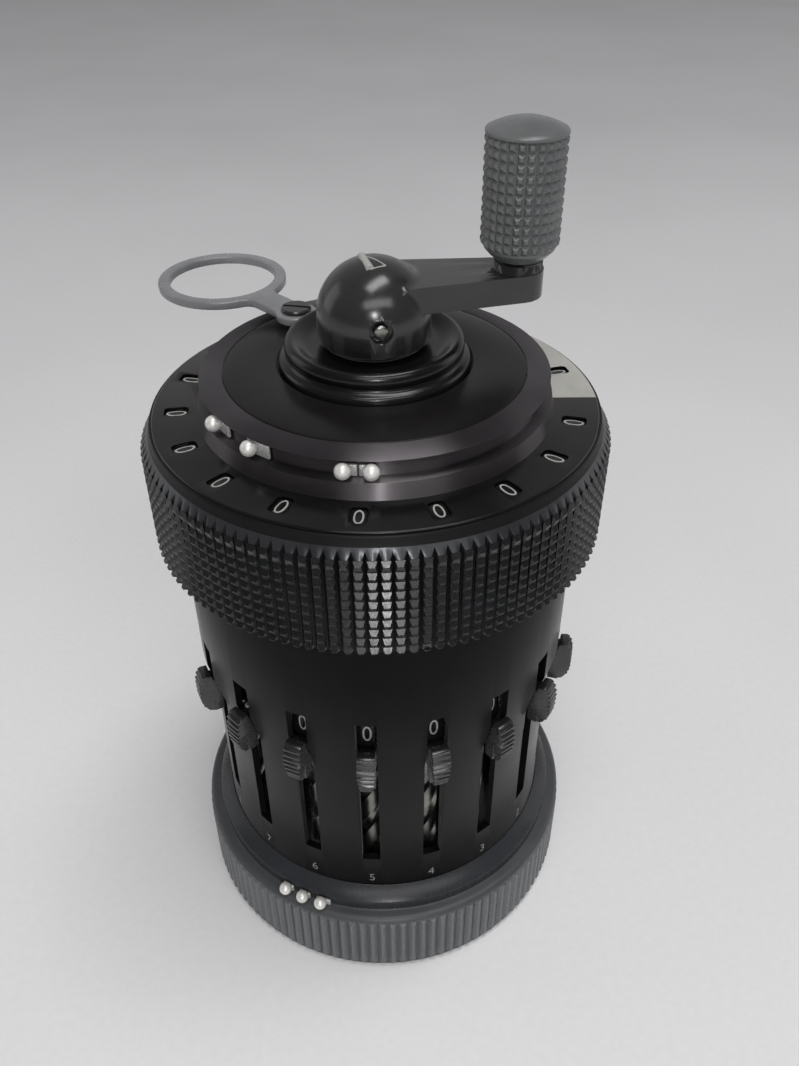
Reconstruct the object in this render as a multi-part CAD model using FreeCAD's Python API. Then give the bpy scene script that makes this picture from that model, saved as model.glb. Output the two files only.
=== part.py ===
import FreeCAD, Part
import math
import os

# A pocket mechanical calculator: a slotted sleeve on a fluted base, eight setting sliders that
# turn helical shafts, a stepped drum on the crank, and a carriage with seventeen number dials
# that lifts and turns. Millimetres, +Z up, origin on the main axis at the foot of the base.
# An azimuth is 0 at the front (-Y) and grows towards +X.

os.makedirs("parts", exist_ok=True)
Vector = FreeCAD.Vector

# Fits and gaps
running_gap = 0.05        # radial, a shaft in its hole
slide_gap = 0.2           # each side, a stem in its slot
part_gap = 0.3            # between pieces that pass each other
seat_gap = 0.02           # radial, pieces that stay put

# Columns of digits
setting_places = 8
result_places = 11
counter_places = 6
units_column = 4          # column of the first slider and the first result digit
column_zero = -3.3        # azimuth of column 0

# Base
ledge_width = 3.7         # of the base outside the sleeve
base_flute_depth = 0.45
base_flutes = 120
base_foot = 0.9           # plain rim under the flutes
base_flute_top = 10.2
base_height = 11.3        # top of the rounded rim
ledge_top = 14.2
base_wall = 2.8
base_shoulder = 10.4      # height of the shoulder that carries the sleeve and the lower plate
shoulder_thickness = 1.6
base_plate_thickness = 1.6
bearing_wall = 2.5
shoulder_width = 1.4      # inwards from the sleeve's bore
bearing_height = 3.2      # of the foot bearing over the base plate, longer than the crank's lift
marker_groove = 1.0       # depth of the groove round the base
rim_width = 0.8           # of the base outside that groove

# Sleeve
sleeve_wall = 0.9
band_room = 0.5           # between the digit drums and the wider band
flare_bottom = 37.0
flare_top = 42.0
sleeve_top = 59.9
slot_width = 2.3
slot_head = 0.4           # from the slot's top end up to the top of the digit drums
window_bevel = 0.8        # of the slots in the band, at each side, so that the digits show from aside

# Setting shafts and sliders
setting_travel = 18.0     # nine steps of 2 mm
helix_lead = 20.0
helix_starts = 3
helix_radius = 1.65
helix_depth = 0.55
digit_drum_radius = 3.2
digit_drum_bottom = 41.0
digit_drum_height = 5.8
drum_spacing = 0.1986     # between neighbouring digit drums
journal_radius = 0.7
knob_reach = 1.9          # outside the band
knob_rise = 1.3           # top of the knob over the foot of the digit drum
knob_height = 6.5
knob_width = 2.1
knob_foot_width = 1.3
knob_ribs = 7
knob_foot = 1.0           # plain part under the ribs
knob_brow = 0.4           # plain part over them
knob_curve = 0.4          # how far the ribbed face draws in at its top and foot
rib_depth = 0.28
shoe_height = 3.8
shoe_wall = 0.4
shoe_gap = 0.25           # round the shaft
stem_rise = 0.9           # foot of the stem over the foot of the shoe
helix_run_out = 1.2       # of the helix below the lowest place of the shoe

# Bearing plates and transmission shafts
plate_thickness = 2.0
upper_plate_top = 57.5
rod_clearance = 0.6       # between the drum's teeth and the pinions
rod_width = 1.5           # across the flats
pinion_radius = 1.3
pinion_height = 2.2
pinion_gap = 0.25         # under the dial gears, which lift away with the carriage

# Crank, drum and centre tube
shaft_radius = 3.0
crank_lift = 3.0
drum_radius = 10.6
drum_tooth_height = 1.9
drum_tooth_width = 1.2
drum_tooth_angle = 13.0
drum_bottom = 17.5
drum_height = 31.0
drum_step = 2.0
drum_teeth = 9
drum_tooth_base = 9.0     # what each tooth has besides its steps
drum_foot = 1.5
ratchet_radius = 7.6
ratchet_teeth = 24
ratchet_tooth_depth = 0.8
ratchet_height = 1.8
key_width = 1.0           # key of the ratchet wheel in the shaft's keyway
key_depth = 0.6
collar_rim_step = 0.75    # from the collar's side in to its rim
collar_top = 82.4
collar_step = 80.3
dish_gap = 1.25           # round the crank's hub
dish_floor = 81.4
tube_wall = 1.4
hub_radius = 6.15
hub_gap = 0.4             # above the dish floor
hub_equator = 84.75
hub_shaft_rise = 2.2      # top of the shaft inside the dome
arm_azimuth = 98.4        # the arm points to the right and slightly back
arm_length = 15.4
arm_bottom = 86.0
arm_thickness = 2.9
arm_root_inset = 0.15     # of the arm's sides inside the dome at the arm's top
arm_blend = 1.6           # radius between the dome and the arm
arm_end_radius = 2.75
boss_height = 0.9
spindle_radius = 1.2
pin_radius = 0.75
pin_height = 85.3
pin_recess_radius = 1.25
pin_recess = 1.0
handle_radius = 4.15
handle_flutes = 26
handle_flute_depth = 0.35
handle_length = 10.2      # fluted part
handle_chamfer = 1.4
handle_foot_radius = 2.6
handle_crown = 1.6
handle_head = 0.9         # plain rim over the flutes

# Carriage
ring_flutes = 110
ring_flute_depth = 0.5
ring_gap = 0.4            # over the sleeve
ring_foot = 0.5
ring_flute_top = 71.5
ring_chamfer = 1.0        # of the shoulder over the knurl, inwards
ring_chamfer_height = 1.6
ring_lip = 0.35           # round the cover, at its foot
cover_top = 74.45
cover_overlap = 0.7       # of the cover on the ring's shoulder
cover_rim = 1.25
cover_plate = 0.2
cover_wall = 1.0
ring_wall = 2.3
floor_thickness = 1.6
floor_ledge = 1.0         # of the carriage floor inside the dial frame
middle_step = 1.0         # from the windows in to the raised middle
middle_slope = 0.6        # from its foot in to the groove's lip
groove_bottom = 76.3
groove_top = 78.5
cover_groove_depth = 1.0
disc_inset = 2.7          # of the clearing disc inside the groove's lip
disc_edge = 79.0
disc_hub = 79.6
disc_thickness = 1.5
ledge_thickness = 1.4
window_width = 2.7
window_length = 2.6
dial_radius = 3.1
dial_room = 2.35          # between the dial frame's inner wall and the number drums
dial_end_gap = 0.18       # between the number drums and the frame's outer wall
dial_length = 2.5
dial_axle_radius = 0.4
dial_gear_radius = 2.2
dial_gear_length = 1.5
dial_top_gap = 0.05
gear_room = 0.1           # radial, from the pinions out to the dial gears
frame_floor = 1.2
frame_rim = 1.0           # of the frame's walls over the dial axles
frame_wall = 1.0          # inner wall of the dial frame
frame_skirt = 0.35        # its outer wall
bush_wall = 1.6
bush_gap = 1.0            # between the bush and the pinions
bush_flange = 1.5
flange_thickness = 1.0

# Clearing loop
loop_azimuth = -135.3
pivot_room = 0.7          # between the pivot's head and the disc's bore
pivot_radius = 1.0
pivot_head_radius = 1.75
pivot_head = 0.5
loop_bottom = 79.9
loop_thickness = 1.0
loop_reach = 14.3         # pivot to the middle of the loop
loop_outer = 7.9
loop_inner = 6.5
loop_eye_radius = 2.4
loop_neck_width = 3.4

# Decimal markers and reversing lever
bead_radius = 0.95
clip_length = 2.6
clip_thickness = 0.35
clip_height = 1.8
base_clip_length = 1.9
base_clip_height = 1.1
top_marker_azimuths = (-58.3, -39.4, -8.4, -0.2)
base_marker_azimuths = (-30.7, -24.8, -18.9)
base_bead_radius = 0.9
lever_azimuth = 150.0
lever_travel = 4.0
lever_slot_bottom = 47.5
lever_height = 3.6
lever_width = 3.2
lever_reach = 2.2


def ring_of(outline):
    """Solid of revolution of a closed (radius, height) outline."""
    points = [Vector(radius, 0, height) for radius, height in outline]
    face = Part.Face(Part.makePolygon(points + points[:1]))
    return face.revolve(Vector(0, 0, 0), Vector(0, 0, 1), 360)


def tube(inner, outer, bottom, height):
    body = Part.makeCylinder(outer, height, Vector(0, 0, bottom))
    if inner > 0:
        body = body.cut(Part.makeCylinder(inner, height, Vector(0, 0, bottom)))
    return body


def box(x0, x1, width, z0, z1):
    """Box along the radius, centred across it."""
    return Part.makeBox(x1 - x0, width, z1 - z0, Vector(x0, -width / 2, z0))


def at_azimuth(shape, azimuth):
    """Turn a shape built along +X to its azimuth."""
    placed = shape.copy()
    placed.rotate(Vector(0, 0, 0), Vector(0, 0, 1), azimuth - 90)
    return placed


def column(index):
    return column_zero + column_pitch * index


def polygon_points(radius, sides, height, phase=0.0):
    step = 2 * math.pi / sides
    return [Vector(radius * math.cos(phase + step * i), radius * math.sin(phase + step * i), height)
            for i in range(sides)]


def prism(points, direction):
    return Part.Face(Part.makePolygon(points + points[:1])).extrude(direction)


def fluted(outer, depth, count, bottom, top):
    """Cylinder with V flutes along its whole outside."""
    step = math.pi / count
    points = []
    for i in range(2 * count):
        radius = outer if i % 2 == 0 else outer - depth
        points.append(Vector(radius * math.cos(step * i), radius * math.sin(step * i), bottom))
    return prism(points, Vector(0, 0, top - bottom))


def meridian(outline, width):
    """Plate of a (radius, height) outline, centred across the radius."""
    points = [Vector(radius, -width / 2, height) for radius, height in outline]
    return prism(points, Vector(0, width, 0))


def solid_between(rings):
    """Solid of flat triangles between rings of points, each ring with the same count."""
    faces = []
    count = len(rings[0])
    for lower, upper in zip(rings, rings[1:]):
        for i in range(count):
            j = (i + 1) % count
            faces.append(Part.Face(Part.makePolygon([lower[i], lower[j], upper[j], lower[i]])))
            faces.append(Part.Face(Part.makePolygon([lower[i], upper[j], upper[i], lower[i]])))
    for ring in (rings[0], rings[-1]):
        faces.append(Part.Face(Part.makePolygon(ring + ring[:1])))
    return Part.makeSolid(Part.makeShell(faces))


def fuse(first, *others):
    return first.multiFuse(list(others)).removeSplitter()


def save(name, *solids):
    shape = solids[0] if len(solids) == 1 else Part.makeCompound(list(solids))
    shape.exportStep("parts/%s.step" % name)


# Heights and radii that follow from the sizes above
column_pitch = 360 / (result_places + counter_places + 1)
slider_columns = range(units_column - setting_places + 1, units_column + 1)
result_columns = range(units_column - result_places + 1, units_column + 1)
counter_columns = [units_column + 1.5 + step for step in range(counter_places)]
dial_columns = list(result_columns) + counter_columns
rod_corner = rod_width / math.sqrt(3)
rod_circle = drum_radius + drum_tooth_height + rod_clearance + pinion_radius
shaft_circle = max(rod_circle + rod_corner + part_gap + digit_drum_radius,
                   (digit_drum_radius + drum_spacing / 2) / math.sin(math.radians(column_pitch / 2)))
shoe_bore = helix_radius + shoe_gap
sleeve_bore = shaft_circle + shoe_bore + shoe_wall + part_gap
sleeve_radius = sleeve_bore + sleeve_wall
band_bore = shaft_circle + digit_drum_radius + band_room
band_radius = band_bore + sleeve_wall
base_radius = sleeve_radius + ledge_width
stem_width = slot_width - 2 * slide_gap
knob_radius = band_radius + knob_reach
collar_radius = rod_circle - pinion_radius - bush_gap - bush_wall - running_gap
collar_rim_radius = collar_radius - collar_rim_step
dish_radius = hub_radius + dish_gap
lower_plate_top = base_shoulder + plate_thickness
bearing_top = base_plate_thickness + bearing_height
shaft_foot = base_plate_thickness / 2 + part_gap
ratchet_bottom = bearing_top + part_gap
upper_plate_bottom = upper_plate_top - plate_thickness
digit_drum_top = digit_drum_bottom + digit_drum_height
shoe_top = digit_drum_bottom - part_gap
shoe_bottom = shoe_top - shoe_height
nib_height = (shoe_top + shoe_bottom) / 2
knob_top = digit_drum_bottom + knob_rise
stem_bottom = shoe_bottom + stem_rise
slot_bottom = stem_bottom - setting_travel
slot_top = digit_drum_top - slot_head
ring_bottom = sleeve_top + ring_gap
dial_axis = cover_top - cover_plate - dial_top_gap - dial_radius
gear_start = rod_circle + pinion_radius + gear_room
gear_end = gear_start + dial_gear_length
frame_inner = gear_end + part_gap
floor_radius = frame_inner - floor_ledge
digit_circle = frame_inner + frame_wall + dial_room + dial_length / 2
ring_bore = math.hypot(digit_circle + dial_length / 2, dial_radius) + dial_end_gap + frame_skirt + seat_gap
ring_radius = ring_bore + ring_wall
cover_radius = ring_bore + cover_overlap
middle_radius = digit_circle - window_length / 2 - middle_step
groove_lip_radius = middle_radius - middle_slope
disc_radius = groove_lip_radius - disc_inset
disc_bore = collar_radius + part_gap
pivot_circle = disc_bore + pivot_head_radius + pivot_room
hub_bottom = dish_floor + hub_gap
shaft_top = hub_equator + hub_shaft_rise
arm_top = arm_bottom + arm_thickness
boss_top = arm_top + boss_height
handle_bottom = boss_top + part_gap


def base_ring():
    groove_radius = base_radius - rim_width
    ledge_foot = groove_radius - marker_groove
    bore = base_radius - base_wall
    outline = [
        (bore, 0),
        (base_radius - base_flute_depth, 0),
        (base_radius - base_flute_depth, base_flute_top),
        (base_radius - 0.15, base_flute_top),
        (base_radius - 0.1, base_flute_top + 0.5),
        (base_radius - 0.4, base_height - 0.1),
        (groove_radius, base_height),
        (ledge_foot, base_height),
        (ledge_foot, base_height + 1.4),
        (sleeve_radius + seat_gap, ledge_top),
        (sleeve_radius + seat_gap, base_shoulder),
        (sleeve_bore - shoulder_width, base_shoulder),
        (sleeve_bore - shoulder_width, base_shoulder - shoulder_thickness),
        (bore, base_shoulder - shoulder_thickness - 1.2),
    ]
    body = ring_of(outline)
    flutes = fluted(base_radius, base_flute_depth, base_flutes, base_foot, base_flute_top)
    flutes = flutes.cut(Part.makeCylinder(base_radius - base_flute_depth - 0.5, base_flute_top))
    foot = tube(bore, base_radius - 0.15, 0, base_foot)
    return fuse(body, flutes, foot)


def base_plate():
    outer = base_radius - base_wall - seat_gap
    plate = tube(0, outer, 0, base_plate_thickness)
    boss = tube(0, shaft_radius + bearing_wall, 0, bearing_top)
    return fuse(plate, boss).cut(tube(0, shaft_radius + running_gap, shaft_foot - part_gap, bearing_top))


def body_sleeve():
    outline = [
        (sleeve_bore, base_shoulder),
        (sleeve_radius, base_shoulder),
        (sleeve_radius, flare_bottom),
        (band_radius, flare_top),
        (band_radius, sleeve_top),
        (band_bore, sleeve_top),
        (band_bore, flare_top),
        (sleeve_bore, flare_bottom),
    ]
    slot = box(sleeve_bore - 2, band_radius + 2, slot_width, slot_bottom, slot_top)
    half_slot = slot_width / 2
    bevel = prism([
        Vector(band_bore, -half_slot, flare_top),
        Vector(band_bore, half_slot, flare_top),
        Vector(band_radius + seat_gap, half_slot + window_bevel, flare_top),
        Vector(band_radius + seat_gap, -half_slot - window_bevel, flare_top),
    ], Vector(0, 0, slot_top - flare_top))
    slots = [at_azimuth(shape, column(i)) for i in slider_columns for shape in (slot, bevel)]
    lever_slot = box(sleeve_bore - 2, band_radius + 2, slot_width,
                     lever_slot_bottom, lever_slot_bottom + lever_height + lever_travel - 0.8)
    return ring_of(outline).cut(Part.makeCompound(slots + [at_azimuth(lever_slot, lever_azimuth)]))


def journal_holes(bottom):
    hole = Part.makeCylinder(journal_radius + running_gap, plate_thickness, Vector(shaft_circle, 0, bottom))
    return [at_azimuth(hole, column(i)) for i in slider_columns]


def lower_bearing_plate():
    plate = tube(shaft_radius + running_gap, sleeve_bore - seat_gap, base_shoulder, plate_thickness)
    return plate.cut(Part.makeCompound(journal_holes(base_shoulder)))


def upper_bearing_plate():
    plate = tube(shaft_radius + running_gap, band_bore - seat_gap, upper_plate_bottom, plate_thickness)
    hole = box(rod_circle - rod_width / 2 - running_gap, rod_circle + rod_width / 2 + running_gap,
               2 * rod_corner + 2 * running_gap, upper_plate_bottom, upper_plate_top)
    holes = [at_azimuth(hole, column(i)) for i in dial_columns]
    return plate.cut(Part.makeCompound(journal_holes(upper_plate_bottom) + holes))


def transmission_shafts():
    top = dial_axis - dial_gear_radius - pinion_gap
    hexagon = polygon_points(rod_corner, 6, lower_plate_top, math.pi / 6)
    rod = prism(hexagon, Vector(0, 0, top - lower_plate_top))
    teeth = fluted(pinion_radius, 0.4, 6, top - pinion_height, top)
    shaft = fuse(rod, teeth)
    shaft.translate(Vector(rod_circle, 0, 0))
    return [at_azimuth(shaft, column(i)) for i in dial_columns]


def setting_shaft():
    """Shaft with a helical groove of several starts, a ten-sided digit drum and two journals."""
    bottom = shoe_bottom - setting_travel - helix_run_out
    span = digit_drum_bottom - bottom
    groove_root = helix_radius - helix_depth
    corners = ((-0.16, groove_root), (0.16, groove_root), (0.22, helix_radius),
               (0.5, helix_radius), (0.78, helix_radius))
    levels = math.ceil(span / helix_lead * 12)
    rings = []
    for level in range(levels + 1):
        height = bottom + span * level / levels
        turn = 2 * math.pi * (height - nib_height) / helix_lead
        ring = []
        for start in range(helix_starts):
            for share, radius in corners:
                angle = turn + 2 * math.pi * (start + share) / helix_starts
                ring.append(Vector(radius * math.cos(angle), radius * math.sin(angle), height))
        rings.append(ring)
    helix = solid_between(rings)
    drum = prism(polygon_points(digit_drum_radius, 10, digit_drum_bottom, math.pi / 10),
                 Vector(0, 0, digit_drum_height))
    foot = Part.makeCylinder(journal_radius, bottom - base_shoulder, Vector(0, 0, base_shoulder))
    head = Part.makeCylinder(journal_radius, upper_plate_top - digit_drum_top, Vector(0, 0, digit_drum_top))
    shaft = fuse(helix, drum, foot, head)
    shaft.translate(Vector(shaft_circle, 0, 0))
    return shaft


def slider():
    """Ribbed knob, its stem through the slot, and the shoe whose nib runs in the helical groove."""
    outer = polygon_points(shoe_bore + shoe_wall, 12, shoe_bottom, math.pi / 12)
    inner = polygon_points(shoe_bore, 12, shoe_bottom, math.pi / 12)
    shoe = prism(outer, Vector(0, 0, shoe_height)).cut(prism(inner, Vector(0, 0, shoe_height)))
    shoe.translate(Vector(shaft_circle, 0, 0))
    wall = shaft_circle + shoe_bore
    nib = box(shaft_circle + helix_radius - helix_depth + shoe_gap, wall + 0.2, 0.4,
              nib_height - 0.4, nib_height + 0.4)
    knob_bottom = knob_top - knob_height
    back = sleeve_radius + slide_gap
    upper_back = band_radius + slide_gap
    stem = meridian([
        (wall + 0.05, stem_bottom),
        (back, stem_bottom),
        (back, knob_bottom + 0.2),
        (upper_back + 0.2, knob_bottom + 0.2),
        (upper_back + 0.2, knob_top - 0.9),
        (shaft_circle + digit_drum_radius + part_gap, knob_top - 1.2),
        (shaft_circle + digit_drum_radius + part_gap, shoe_top),
        (wall + 0.05, shoe_top),
    ], stem_width)
    pitch = (knob_height - knob_foot - knob_brow) / knob_ribs
    outline = [
        (back, knob_bottom), (knob_radius - 1.5, knob_bottom), (knob_radius - 0.9, knob_bottom + 0.3),
        (knob_radius - knob_curve - 0.15, knob_bottom + knob_foot - 0.1),
    ]
    for rib in range(knob_ribs):
        height = knob_bottom + knob_foot + pitch * rib
        bulge = knob_radius - knob_curve * abs((2 * rib + 1) / knob_ribs - 1) ** 3
        outline += [(bulge - rib_depth, height), (bulge, height + 0.35 * pitch), (bulge, height + 0.7 * pitch)]
    outline += [
        (knob_radius - knob_curve - rib_depth, knob_top - knob_brow),
        (knob_radius - knob_curve - 0.15, knob_top - 0.15), (knob_radius - knob_curve - 0.55, knob_top),
        (upper_back, knob_top - 0.1), (upper_back, flare_top), (back, flare_bottom),
    ]
    head = meridian(outline, knob_width)
    half_foot = knob_foot_width / 2
    half_head = knob_width / 2
    taper = prism([
        Vector(back, -half_foot, knob_bottom),
        Vector(back, half_foot, knob_bottom),
        Vector(back, half_head, knob_bottom + 0.6 * knob_height),
        Vector(back, half_head, knob_top),
        Vector(back, -half_head, knob_top),
        Vector(back, -half_head, knob_bottom + 0.6 * knob_height),
    ], Vector(knob_radius - back, 0, 0))
    return fuse(shoe, nib, stem, head.common(taper))


def reversing_lever():
    stem_height = lever_height - 1.2
    bottom = lever_slot_bottom + slide_gap
    stem = box(band_bore - 0.9, band_radius + part_gap + 0.4, stem_width, bottom, bottom + stem_height)
    inner = box(band_bore - 1.3, band_bore - 0.5, slot_width + 1.4, bottom - 0.5, bottom + stem_height + 0.3)
    face = band_radius + part_gap
    knob = meridian([
        (face, bottom - 0.6),
        (face + lever_reach - 0.5, bottom - 0.2),
        (face + lever_reach, bottom + 0.6),
        (face + lever_reach, bottom - 0.6 + lever_height - 0.9),
        (face + lever_reach - 0.5, bottom - 0.6 + lever_height),
        (face, bottom - 0.6 + lever_height),
    ], lever_width)
    return fuse(stem, inner, knob)


def top_collar():
    outer = collar_radius
    bore = shaft_radius + running_gap
    cavity_top = collar_step - 3.0
    return ring_of([
        (outer - tube_wall, upper_plate_top),
        (outer, upper_plate_top),
        (outer, collar_step - 0.3),
        (outer - 0.3, collar_step),
        (collar_rim_radius + 0.15, collar_step + 0.25),
        (collar_rim_radius - 0.15, collar_step + 0.5),
        (collar_rim_radius + 0.1, collar_step + 0.75),
        (collar_rim_radius, collar_top - 0.5),
        (collar_rim_radius - 0.3, collar_top - 0.1),
        (collar_rim_radius - 0.6, collar_top),
        (dish_radius + 0.3, dish_floor + 0.3),
        (dish_radius, dish_floor),
        (bore, dish_floor),
        (bore, cavity_top),
        (outer - tube_wall, cavity_top),
    ])


def ratchet_wheel():
    step = 2 * math.pi / ratchet_teeth
    points = []
    for i in range(ratchet_teeth):
        for radius, share in ((ratchet_radius, 0.0), (ratchet_radius - ratchet_tooth_depth, 0.9)):
            angle = step * (i + share)
            points.append(Vector(radius * math.cos(angle), radius * math.sin(angle), ratchet_bottom))
    wheel = prism(points, Vector(0, 0, ratchet_height))
    wheel = wheel.cut(tube(0, shaft_radius + running_gap, ratchet_bottom, ratchet_height))
    key = box(shaft_radius - key_depth + running_gap, shaft_radius + 1.0, key_width,
              ratchet_bottom, ratchet_bottom + ratchet_height)
    return fuse(wheel, key)


def pin_bore(radius, half_length):
    """Cylinder across the crank, square to the arm."""
    bore = Part.makeCylinder(radius, 2 * half_length, Vector(0, -half_length, pin_height), Vector(0, 1, 0))
    return at_azimuth(bore, arm_azimuth)


def main_shaft():
    """Shaft with the hole of the cross pin and a keyway that lets it lift through the ratchet wheel."""
    shaft = tube(0, shaft_radius, shaft_foot, shaft_top - shaft_foot)
    keyway = box(shaft_radius - key_depth, shaft_radius + 1.0, key_width + 2 * running_gap,
                 ratchet_bottom - crank_lift - part_gap, ratchet_bottom + ratchet_height + part_gap)
    return shaft.cut(Part.makeCompound([pin_bore(pin_radius + seat_gap, shaft_radius + 1.0), keyway]))


def step_drum():
    drum = tube(0, drum_radius, drum_bottom, drum_height)
    teeth = []
    for tooth in range(1, drum_teeth + 1):
        bottom = drum_bottom + drum_foot
        length = drum_tooth_base + drum_step * tooth
        bar = box(drum_radius - 0.5, drum_radius + drum_tooth_height, drum_tooth_width, bottom, bottom + length)
        teeth.append(at_azimuth(bar, 180 + drum_tooth_angle * (tooth - 5)))
    return fuse(drum, *teeth).cut(tube(0, shaft_radius + seat_gap, drum_bottom, drum_height))


def crank_arm():
    """Domed hub, tapered arm, the boss at its end and the spindle that carries the handle."""
    rise = hub_equator + hub_radius
    slant = hub_radius * math.sin(math.pi / 4)

    def on_dome(extent):
        """True for the edges where the arm's top and sides meet the dome."""
        return extent.XMin > 0.1 and extent.XMax < hub_radius and abs(extent.ZMax - arm_top) < 0.01

    start = Vector(0, 0, hub_bottom)
    edges = [
        Part.makeLine(start, Vector(hub_radius - 0.7, 0, hub_bottom)),
        Part.makeLine(Vector(hub_radius - 0.7, 0, hub_bottom), Vector(hub_radius, 0, hub_bottom + 0.7)),
        Part.makeLine(Vector(hub_radius, 0, hub_bottom + 0.7), Vector(hub_radius, 0, hub_equator)),
        Part.Arc(Vector(hub_radius, 0, hub_equator), Vector(slant, 0, hub_equator + slant),
                 Vector(0, 0, rise)).toShape(),
        Part.makeLine(Vector(0, 0, rise), start),
    ]
    hub = Part.Face(Part.Wire(edges)).revolve(Vector(0, 0, 0), Vector(0, 0, 1), 360)
    dome_section = math.sqrt(hub_radius ** 2 - (arm_top - hub_equator) ** 2)
    root = dome_section - arm_root_inset
    lean = math.asin((root - arm_end_radius) / arm_length)
    root_x, root_y = root * math.sin(lean), root * math.cos(lean)
    end_x, end_y = arm_length + arm_end_radius * math.sin(lean), arm_end_radius * math.cos(lean)
    arm = prism([
        Vector(root_x, -root_y, arm_bottom),
        Vector(end_x, -end_y, arm_bottom),
        Vector(end_x, end_y, arm_bottom),
        Vector(root_x, root_y, arm_bottom),
    ], Vector(0, 0, arm_thickness))
    end = Part.makeCylinder(arm_end_radius, arm_thickness, Vector(arm_length, 0, arm_bottom))
    body = fuse(hub, arm, end)
    body = body.makeFillet(arm_blend, [edge for edge in body.Edges if on_dome(edge.BoundBox)])
    boss = Part.makeCylinder(arm_end_radius - 0.15, boss_height, Vector(arm_length, 0, arm_top))
    spindle = Part.makeCylinder(spindle_radius, handle_length, Vector(arm_length, 0, boss_top))
    bore = tube(0, shaft_radius + seat_gap, hub_bottom, shaft_top + seat_gap - hub_bottom)
    body = fuse(body, boss, spindle).cut(bore)
    body = at_azimuth(body, arm_azimuth)
    inside = pin_bore(pin_recess_radius, hub_radius - pin_recess)
    recess = pin_bore(pin_recess_radius, hub_radius + 1).cut(inside)
    return body.cut(Part.makeCompound([pin_bore(pin_radius + seat_gap, hub_radius + 1), recess]))


def cross_pin():
    return pin_bore(pin_radius, hub_radius - 0.5)


def crank_handle():
    neck = handle_bottom + handle_chamfer
    shoulder = neck + handle_length
    rim = shoulder + handle_head
    core_radius = handle_radius - handle_flute_depth - 0.3
    core = ring_of([
        (0, handle_bottom), (handle_foot_radius, handle_bottom),
        (handle_radius - handle_flute_depth, neck), (core_radius, neck + 0.5), (core_radius, shoulder - 0.5),
        (handle_radius - 0.1, shoulder), (handle_radius, shoulder + 0.2), (handle_radius, rim - 0.2),
        (handle_radius - 0.3, rim), (0.62 * handle_radius, rim + 0.66 * handle_crown),
        (0.3 * handle_radius, rim + 0.93 * handle_crown), (0, rim + handle_crown),
    ])
    flutes = fluted(handle_radius, handle_flute_depth, handle_flutes, neck, shoulder)
    bore = tube(0, spindle_radius + running_gap, handle_bottom, boss_top + handle_length + 0.2 - handle_bottom)
    handle = fuse(core, flutes).cut(bore)
    handle.translate(Vector(arm_length, 0, 0))
    return at_azimuth(handle, arm_azimuth)


def carriage_bush():
    inner = collar_radius + running_gap
    outer = inner + bush_wall
    bottom = upper_plate_top + part_gap
    ledge = disc_edge - disc_thickness - ledge_thickness
    flange_top = ledge - running_gap
    flange_bottom = flange_top - flange_thickness
    top = ledge + ledge_thickness - 0.1
    return ring_of([
        (inner, bottom), (outer, bottom), (outer, flange_bottom), (outer + bush_flange, flange_bottom),
        (outer + bush_flange, flange_top), (outer, flange_top), (outer, top), (inner, top),
    ])


def carriage_ring():
    root = ring_radius - ring_flute_depth
    rim_seat = cover_top - cover_rim
    lip = cover_radius + seat_gap
    body = ring_of([
        (floor_radius, ring_bottom), (root - 0.2, ring_bottom), (root, ring_bottom + ring_foot),
        (root, ring_flute_top), (ring_radius - 0.05, ring_flute_top),
        (ring_radius - ring_chamfer, ring_flute_top + ring_chamfer_height), (lip + ring_lip, cover_top - 0.5),
        (lip + ring_lip - 0.1, cover_top - 0.25), (lip, cover_top - 0.25), (lip, rim_seat),
        (ring_bore, rim_seat),
        (ring_bore, ring_bottom + floor_thickness), (floor_radius, ring_bottom + floor_thickness),
    ])
    flutes = fluted(ring_radius, ring_flute_depth, ring_flutes, ring_bottom + ring_foot, ring_flute_top)
    flutes = flutes.cut(Part.makeCylinder(root - 0.5, ring_flute_top))
    return fuse(body, flutes)


def dial_frame():
    """Channel with an inner and an outer wall, notched from the top for the dial axles."""
    bottom = ring_bottom + floor_thickness
    outer = ring_bore - seat_gap
    inner = frame_inner
    wall_outer = outer - frame_skirt
    floor_top = bottom + frame_floor
    rim = dial_axis + frame_rim
    channel = ring_of([
        (inner, bottom), (outer, bottom), (outer, rim), (wall_outer, rim),
        (wall_outer, floor_top), (inner + frame_wall, floor_top), (inner + frame_wall, rim), (inner, rim),
    ])
    width = 2 * (dial_axle_radius + running_gap)
    notch = box(inner - 0.5, outer + 0.5, width, dial_axis - dial_axle_radius - running_gap, rim + 1)
    return channel.cut(Part.makeCompound([at_azimuth(notch, column(i)) for i in dial_columns]))


def dial_cover():
    under = cover_top - cover_plate
    seat = disc_edge - disc_thickness - 0.1
    ledge = disc_edge - disc_thickness - ledge_thickness
    bore = collar_radius + 2 * running_gap + bush_wall
    groove_floor = groove_lip_radius - cover_groove_depth
    wall_inner = groove_floor - cover_wall
    rim_bottom = cover_top - cover_rim
    cover = ring_of([
        (cover_radius, rim_bottom), (cover_radius, cover_top), (middle_radius, cover_top),
        (groove_lip_radius + 0.25, groove_bottom), (groove_floor, groove_bottom + 0.1),
        (groove_floor, groove_top - 0.1), (groove_lip_radius, groove_top),
        (groove_lip_radius - 0.1, groove_top + 0.1),
        (disc_radius + seat_gap + 0.05, disc_edge), (disc_radius + seat_gap, seat),
        (bore, seat), (bore, ledge), (wall_inner, ledge), (wall_inner, under),
        (ring_bore + 0.1, under), (ring_bore + 0.1, rim_bottom),
    ])
    window = box(digit_circle - window_length / 2, digit_circle + window_length / 2, window_width,
                 under - 1, cover_top + 1)
    return cover.cut(Part.makeCompound([at_azimuth(window, column(i)) for i in dial_columns]))


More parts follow.
